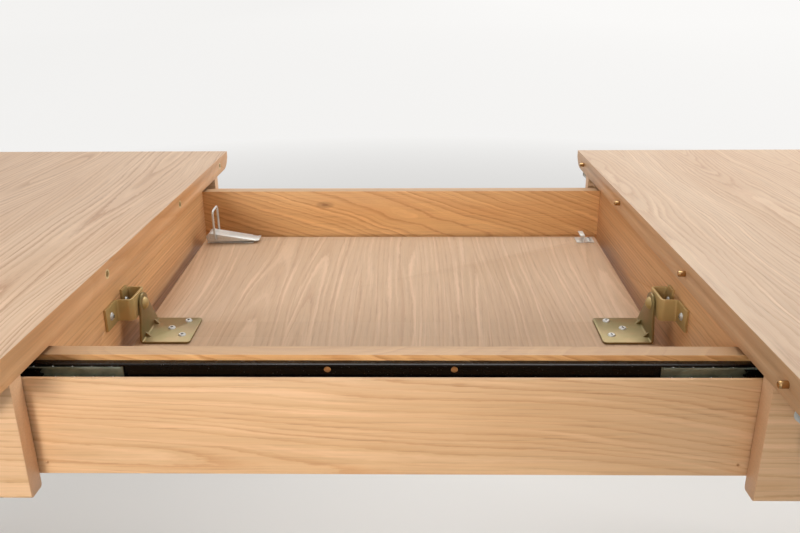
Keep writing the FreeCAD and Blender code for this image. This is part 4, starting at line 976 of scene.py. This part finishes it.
@dataclass
class ScrewHeads:
    """The screws, with flattened heads and cross recesses whose faces carry painted shade."""

    bench: Bench
    screws: tuple[str, ...] = ("frame_screws", "leaf_upper_screws", "leaf_lower_screws", "left_screws",
                               "right_screws")
    arm: float = 0.0034
    slot_width: float = 0.0012
    slot_depth: float = 0.0018
    flat: float = 0.0011
    head_width: float = 0.012
    slab_height: float = 0.004
    tip_band: float = 0.0006
    top_band: float = 0.0001
    level_share: float = 0.15

    def heads(self, name: str) -> list[Head]:
        """Finds the heads of a group of screws.

        Args:
            name: The screws' node.

        Returns:
            One entry for each screw.
        """
        group = self.bench.copied(name, "_single")
        with self.bench.editing(group):
            bpy.ops.mesh.separate(type="LOOSE")
        found = []
        for screw in list(bpy.context.selected_objects):
            places = [vertex.co.copy() for vertex in screw.data.vertices]
            middle = sum(places, Vector()) / len(places)
            far = max((place - middle).length for place in places)
            tips = [place for place in places if (place - middle).length > far - self.tip_band]
            tip = sum(tips, Vector()) / len(tips)
            out = (middle - tip).normalized()
            rises = [(place - tip).dot(out) for place in places]
            top = max(rises)
            level = sum(rise > top - self.top_band for rise in rises)
            found.append(Head(tip + out * top, out, level < len(rises) * self.level_share))
            bpy.data.objects.remove(screw)
        return found

    def cutters(self) -> tuple[Piece, Piece]:
        """Models the cutter of one cross recess, and the one that takes the top off a dome.

        Returns:
            The cross with its middle at the origin, and the slab with its underside there.
        """
        cross = self.bench.block(self.arm, self.slot_width, self.slot_depth)
        with self.bench.editing(cross):
            bpy.ops.mesh.duplicate()
            bpy.ops.transform.rotate(value=math.radians(90), orient_axis="Z", center_override=ORIGIN)
            bpy.ops.mesh.select_all(action="SELECT")
            bpy.ops.mesh.intersect_boolean(operation="UNION", solver="EXACT", use_self=True)
        # The cross carries painted shade, which its cut leaves on the recess faces.
        cross.data.materials.append(self.bench.material(PAINTED_SHADE_RECESS))
        slab = self.bench.block(self.head_width, self.head_width, self.slab_height)
        with self.bench.editing(slab):
            bpy.ops.transform.translate(value=(0.0, 0.0, self.slab_height / 2))
        slab.data.materials.append(self.bench.material(SCREW_ZINC))
        return cross, slab

    def cut(self, piece: Piece, cutter: Piece, heads: Sequence[Head], sunk: float) -> None:
        """Cuts the same shape out of many heads.

        Args:
            piece: The screws.
            cutter: The shape, at the origin.
            heads: The heads.
            sunk: How far under the top of a domed head the shape's origin goes, in metres.
        """
        copies = []
        for head in heads:
            copy = bpy.data.objects.new("cutter", cutter.data.copy())
            bpy.context.scene.collection.objects.link(copy)
            place = head.top - head.out * (sunk if head.domed else 0.0)
            turn = head.out.to_track_quat("Z", "Y").to_matrix()
            copy.matrix_world = Matrix.Translation(place) @ turn.to_4x4()
            copies.append(copy)
        self.bench.alone(copies[0])
        for copy in copies:
            copy.select_set(True)
        bpy.ops.object.transform_apply(location=True, rotation=True, scale=True)
        bpy.ops.object.join()
        # The cut faces take the cutter's material: painted shade in the recesses.
        self.bench.modify(piece, "BOOLEAN", object=copies[0], operation="DIFFERENCE", solver="EXACT",
                          material_mode="TRANSFER")
        bpy.data.objects.remove(copies[0])

    def build(self) -> None:
        """Flattens the domes and sinks a recess into each head, but for the leg bolts."""
        cross, slab = self.cutters()
        for name in self.screws:
            heads = self.heads(name)
            piece = self.bench.copied(name, "_cut")
            self.bench.settle(piece, SCREW_ZINC, name)
            domes = [head for head in heads if head.domed]
            if domes:
                self.cut(piece, slab, domes, self.flat)
            self.cut(piece, cross, heads, self.flat)
            bpy.ops.object.shade_smooth_by_angle(angle=SCREW_SMOOTH)
            log.info("%s: %d heads, %d domed", name, len(heads), len(domes))
        for cutter in (cross, slab):
            bpy.data.objects.remove(cutter)
        self.bench.dress(SCREW_ZINC, "left_leg_bolts", "right_leg_bolts")


@dataclass
class Studio:
    """Pale floor, soft light all round, and the photograph's camera."""

    floor_size: float = 160.0
    eye: tuple[float, float, float] = (0.01826, -0.83678, 1.00733)
    tilt: float = 20.233
    yaw: float = -1.026
    roll: float = 0.383
    lens: float = 34.94
    sensor: float = 36.0
    sky: float = 0.29
    sky_tone: Colour = (1.0, 0.99, 0.975)
    haze: Colour = (0.96, 0.95, 0.935)
    # How much darker the background's glow is near the middle and at the left: painted shade.
    near_painted_shade: float = 0.968
    left_painted_shade: float = 0.94
    haze_reach: tuple[float, float] = (4.0, 20.0)
    fade_reach: tuple[float, float] = (0.9, 4.5)
    side_reach: tuple[float, float] = (-6.0, 5.0)
    clip: tuple[float, float] = (0.02, 200.0)

    def seen_directly(self, tree: bpy.types.NodeTree) -> Socket:
        """Tells rays that see the studio itself or its reflection from those that only light something.

        Args:
            tree: The node tree to add it to.

        Returns:
            1 for camera, glossy and transmission rays, otherwise 0.
        """
        paths = tree.nodes.new("ShaderNodeLightPath")
        share = paths.outputs["Is Camera Ray"]
        for ray in ("Is Glossy Ray", "Is Transmission Ray"):
            either = tree.nodes.new("ShaderNodeMath")
            either.operation = "MAXIMUM"
            tree.links.new(share, either.inputs[0])
            tree.links.new(paths.outputs[ray], either.inputs[1])
            share = either.outputs[0]
        return share

    def floor(self) -> None:
        """Lays a pale floor that fades into the pale background, whose glow carries painted shade: dimmer
        near the middle and towards the left.
        """
        bpy.ops.object.select_all(action="DESELECT")
        bpy.ops.mesh.primitive_plane_add(size=self.floor_size, location=ORIGIN)
        floor = bpy.context.object
        floor.name = "studio_floor"
        recipe = Recipe("studio_floor")
        axes = recipe.object_axes()
        cloud = recipe.noise(recipe.point(axes["X"], axes["Y"], 0.0), 0.7, 2.0)
        colour = recipe.mix(cloud, tint(234, 233, 230), tint(230, 229, 226))
        recipe.finish(colour, 0.7, cloud, 0.0001)
        away = recipe.reach(axes["X"], axes["Y"])
        glow = recipe.node("Emission", {"Strength": 1.0})
        # Painted shade: the glow is dimmer near the middle and towards the left.
        near = tuple(part * self.near_painted_shade for part in self.haze)
        far = recipe.mix(recipe.spread(away, *self.haze_reach), near, self.haze)
        side = recipe.spread(axes["X"], *self.side_reach, self.left_painted_shade)
        recipe.plug(glow.inputs["Color"], recipe.shaded(far, side))
        fade = recipe.times(recipe.spread(away, *self.fade_reach), self.seen_directly(recipe.tree))
        both = recipe.node("MixShader", {"Fac": fade})
        recipe.plug(both.inputs[1], recipe.shader.outputs[0])
        recipe.plug(both.inputs[2], glow.outputs[0])
        recipe.plug(recipe.tree.nodes["Material Output"].inputs["Surface"], both.outputs[0])
        floor.data.materials.append(recipe.material)

    def sky_light(self) -> None:
        """Sets an even pale world that shows nearly white behind everything."""
        world = bpy.data.worlds.new("studio")
        bpy.context.scene.world = world
        world.use_nodes = True
        nodes, links = world.node_tree.nodes, world.node_tree.links
        back = nodes["Background"]
        back.inputs["Color"].default_value = (*self.sky_tone, 1.0)
        back.inputs["Strength"].default_value = self.sky
        shown = nodes.new("ShaderNodeBackground")
        shown.inputs["Color"].default_value = (*self.haze, 1.0)
        both = nodes.new("ShaderNodeMixShader")
        links.new(self.seen_directly(world.node_tree), both.inputs[0])
        links.new(back.outputs[0], both.inputs[1])
        links.new(shown.outputs[0], both.inputs[2])
        links.new(both.outputs[0], nodes["World Output"].inputs["Surface"])

    def lamp(self, name: str, place: Sequence[float], aim: Sequence[float], size: tuple[float, float],
             watts: float, spread: float = 180.0, mirrored: bool = True) -> None:
        """Hangs a soft box.

        Args:
            name: Its name.
            place: Where it hangs.
            aim: The point that it faces.
            size: Its width and height.
            watts: Its power.
            spread: The angle that its light fans out to, in degrees.
            mirrored: Whether glossy surfaces show it.
        """
        light = bpy.data.lights.new(name, "AREA")
        light.shape = "RECTANGLE"
        light.size, light.size_y = size
        light.energy = watts
        light.spread = math.radians(spread)
        lamp = bpy.data.objects.new(name, light)
        lamp.location = place
        lamp.visible_glossy = mirrored
        lamp.rotation_euler = (Vector(aim) - Vector(place)).to_track_quat("-Z", "Y").to_euler()
        bpy.context.scene.collection.objects.link(lamp)

    def lamps(self) -> None:
        """Hangs the soft boxes."""
        self.lamp("soft_box_left", (-0.6, -1.75, 1.1), (-0.2, -0.31, 0.66), (0.8, 0.5), 1.08, 24.0, False)
        self.lamp("soft_box_front", (0.5, -3.0, 1.6), (0.1, 0.0, 0.7), (1.6, 1.2), 7.0)
        self.lamp("soft_box_right", (2.4, 0.3, 1.35), (0.0, 0.0, 0.72), (1.2, 1.0), 19.0, mirrored=False)
        self.lamp("soft_box_above", (0.15, 1.2, 2.8), (0.0, 0.1, 0.7), (2.2, 2.2), 43.5)

    def camera(self) -> None:
        """Sets up the camera of the photograph."""
        tilt, yaw, roll = (math.radians(a) for a in (self.tilt, self.yaw, self.roll))
        ahead = Vector((math.sin(yaw) * math.cos(tilt), math.cos(yaw) * math.cos(tilt), -math.sin(tilt)))
        right = Vector((math.cos(yaw), -math.sin(yaw), 0.0))
        down = ahead.cross(right)
        turned_right = right * math.cos(roll) + down * math.sin(roll)
        turned_down = down * math.cos(roll) - right * math.sin(roll)
        data = bpy.data.cameras.new("photo_camera")
        data.lens = self.lens
        data.sensor_width = self.sensor
        data.sensor_fit = "HORIZONTAL"
        data.clip_start, data.clip_end = self.clip
        camera = bpy.data.objects.new("photo_camera", data)
        bpy.context.scene.collection.objects.link(camera)
        turn = Matrix((turned_right, -turned_down, -ahead)).transposed()
        camera.matrix_world = Matrix.Translation(self.eye) @ turn.to_4x4()
        bpy.context.scene.camera = camera

    def build(self) -> None:
        """Sets up the whole studio."""
        bpy.context.scene.view_settings.view_transform = "Standard"
        self.camera()
        self.floor()
        self.sky_light()
        self.lamps()


def main() -> None:
    """Builds the sub-assemblies in order."""
    logging.basicConfig(level=logging.INFO)
    Studio().build()
    bench = Bench()
    for part in (CentreFrame(bench), TableHalf(bench, "left", LEFT_TOP_OAK),
                 TableHalf(bench, "right", RIGHT_TOP_OAK), FoldingLeaf(bench),
                 PivotFittings(bench), JointFittings(bench), ScrewHeads(bench)):
        part.build()


if __name__ == "__main__":
    main()
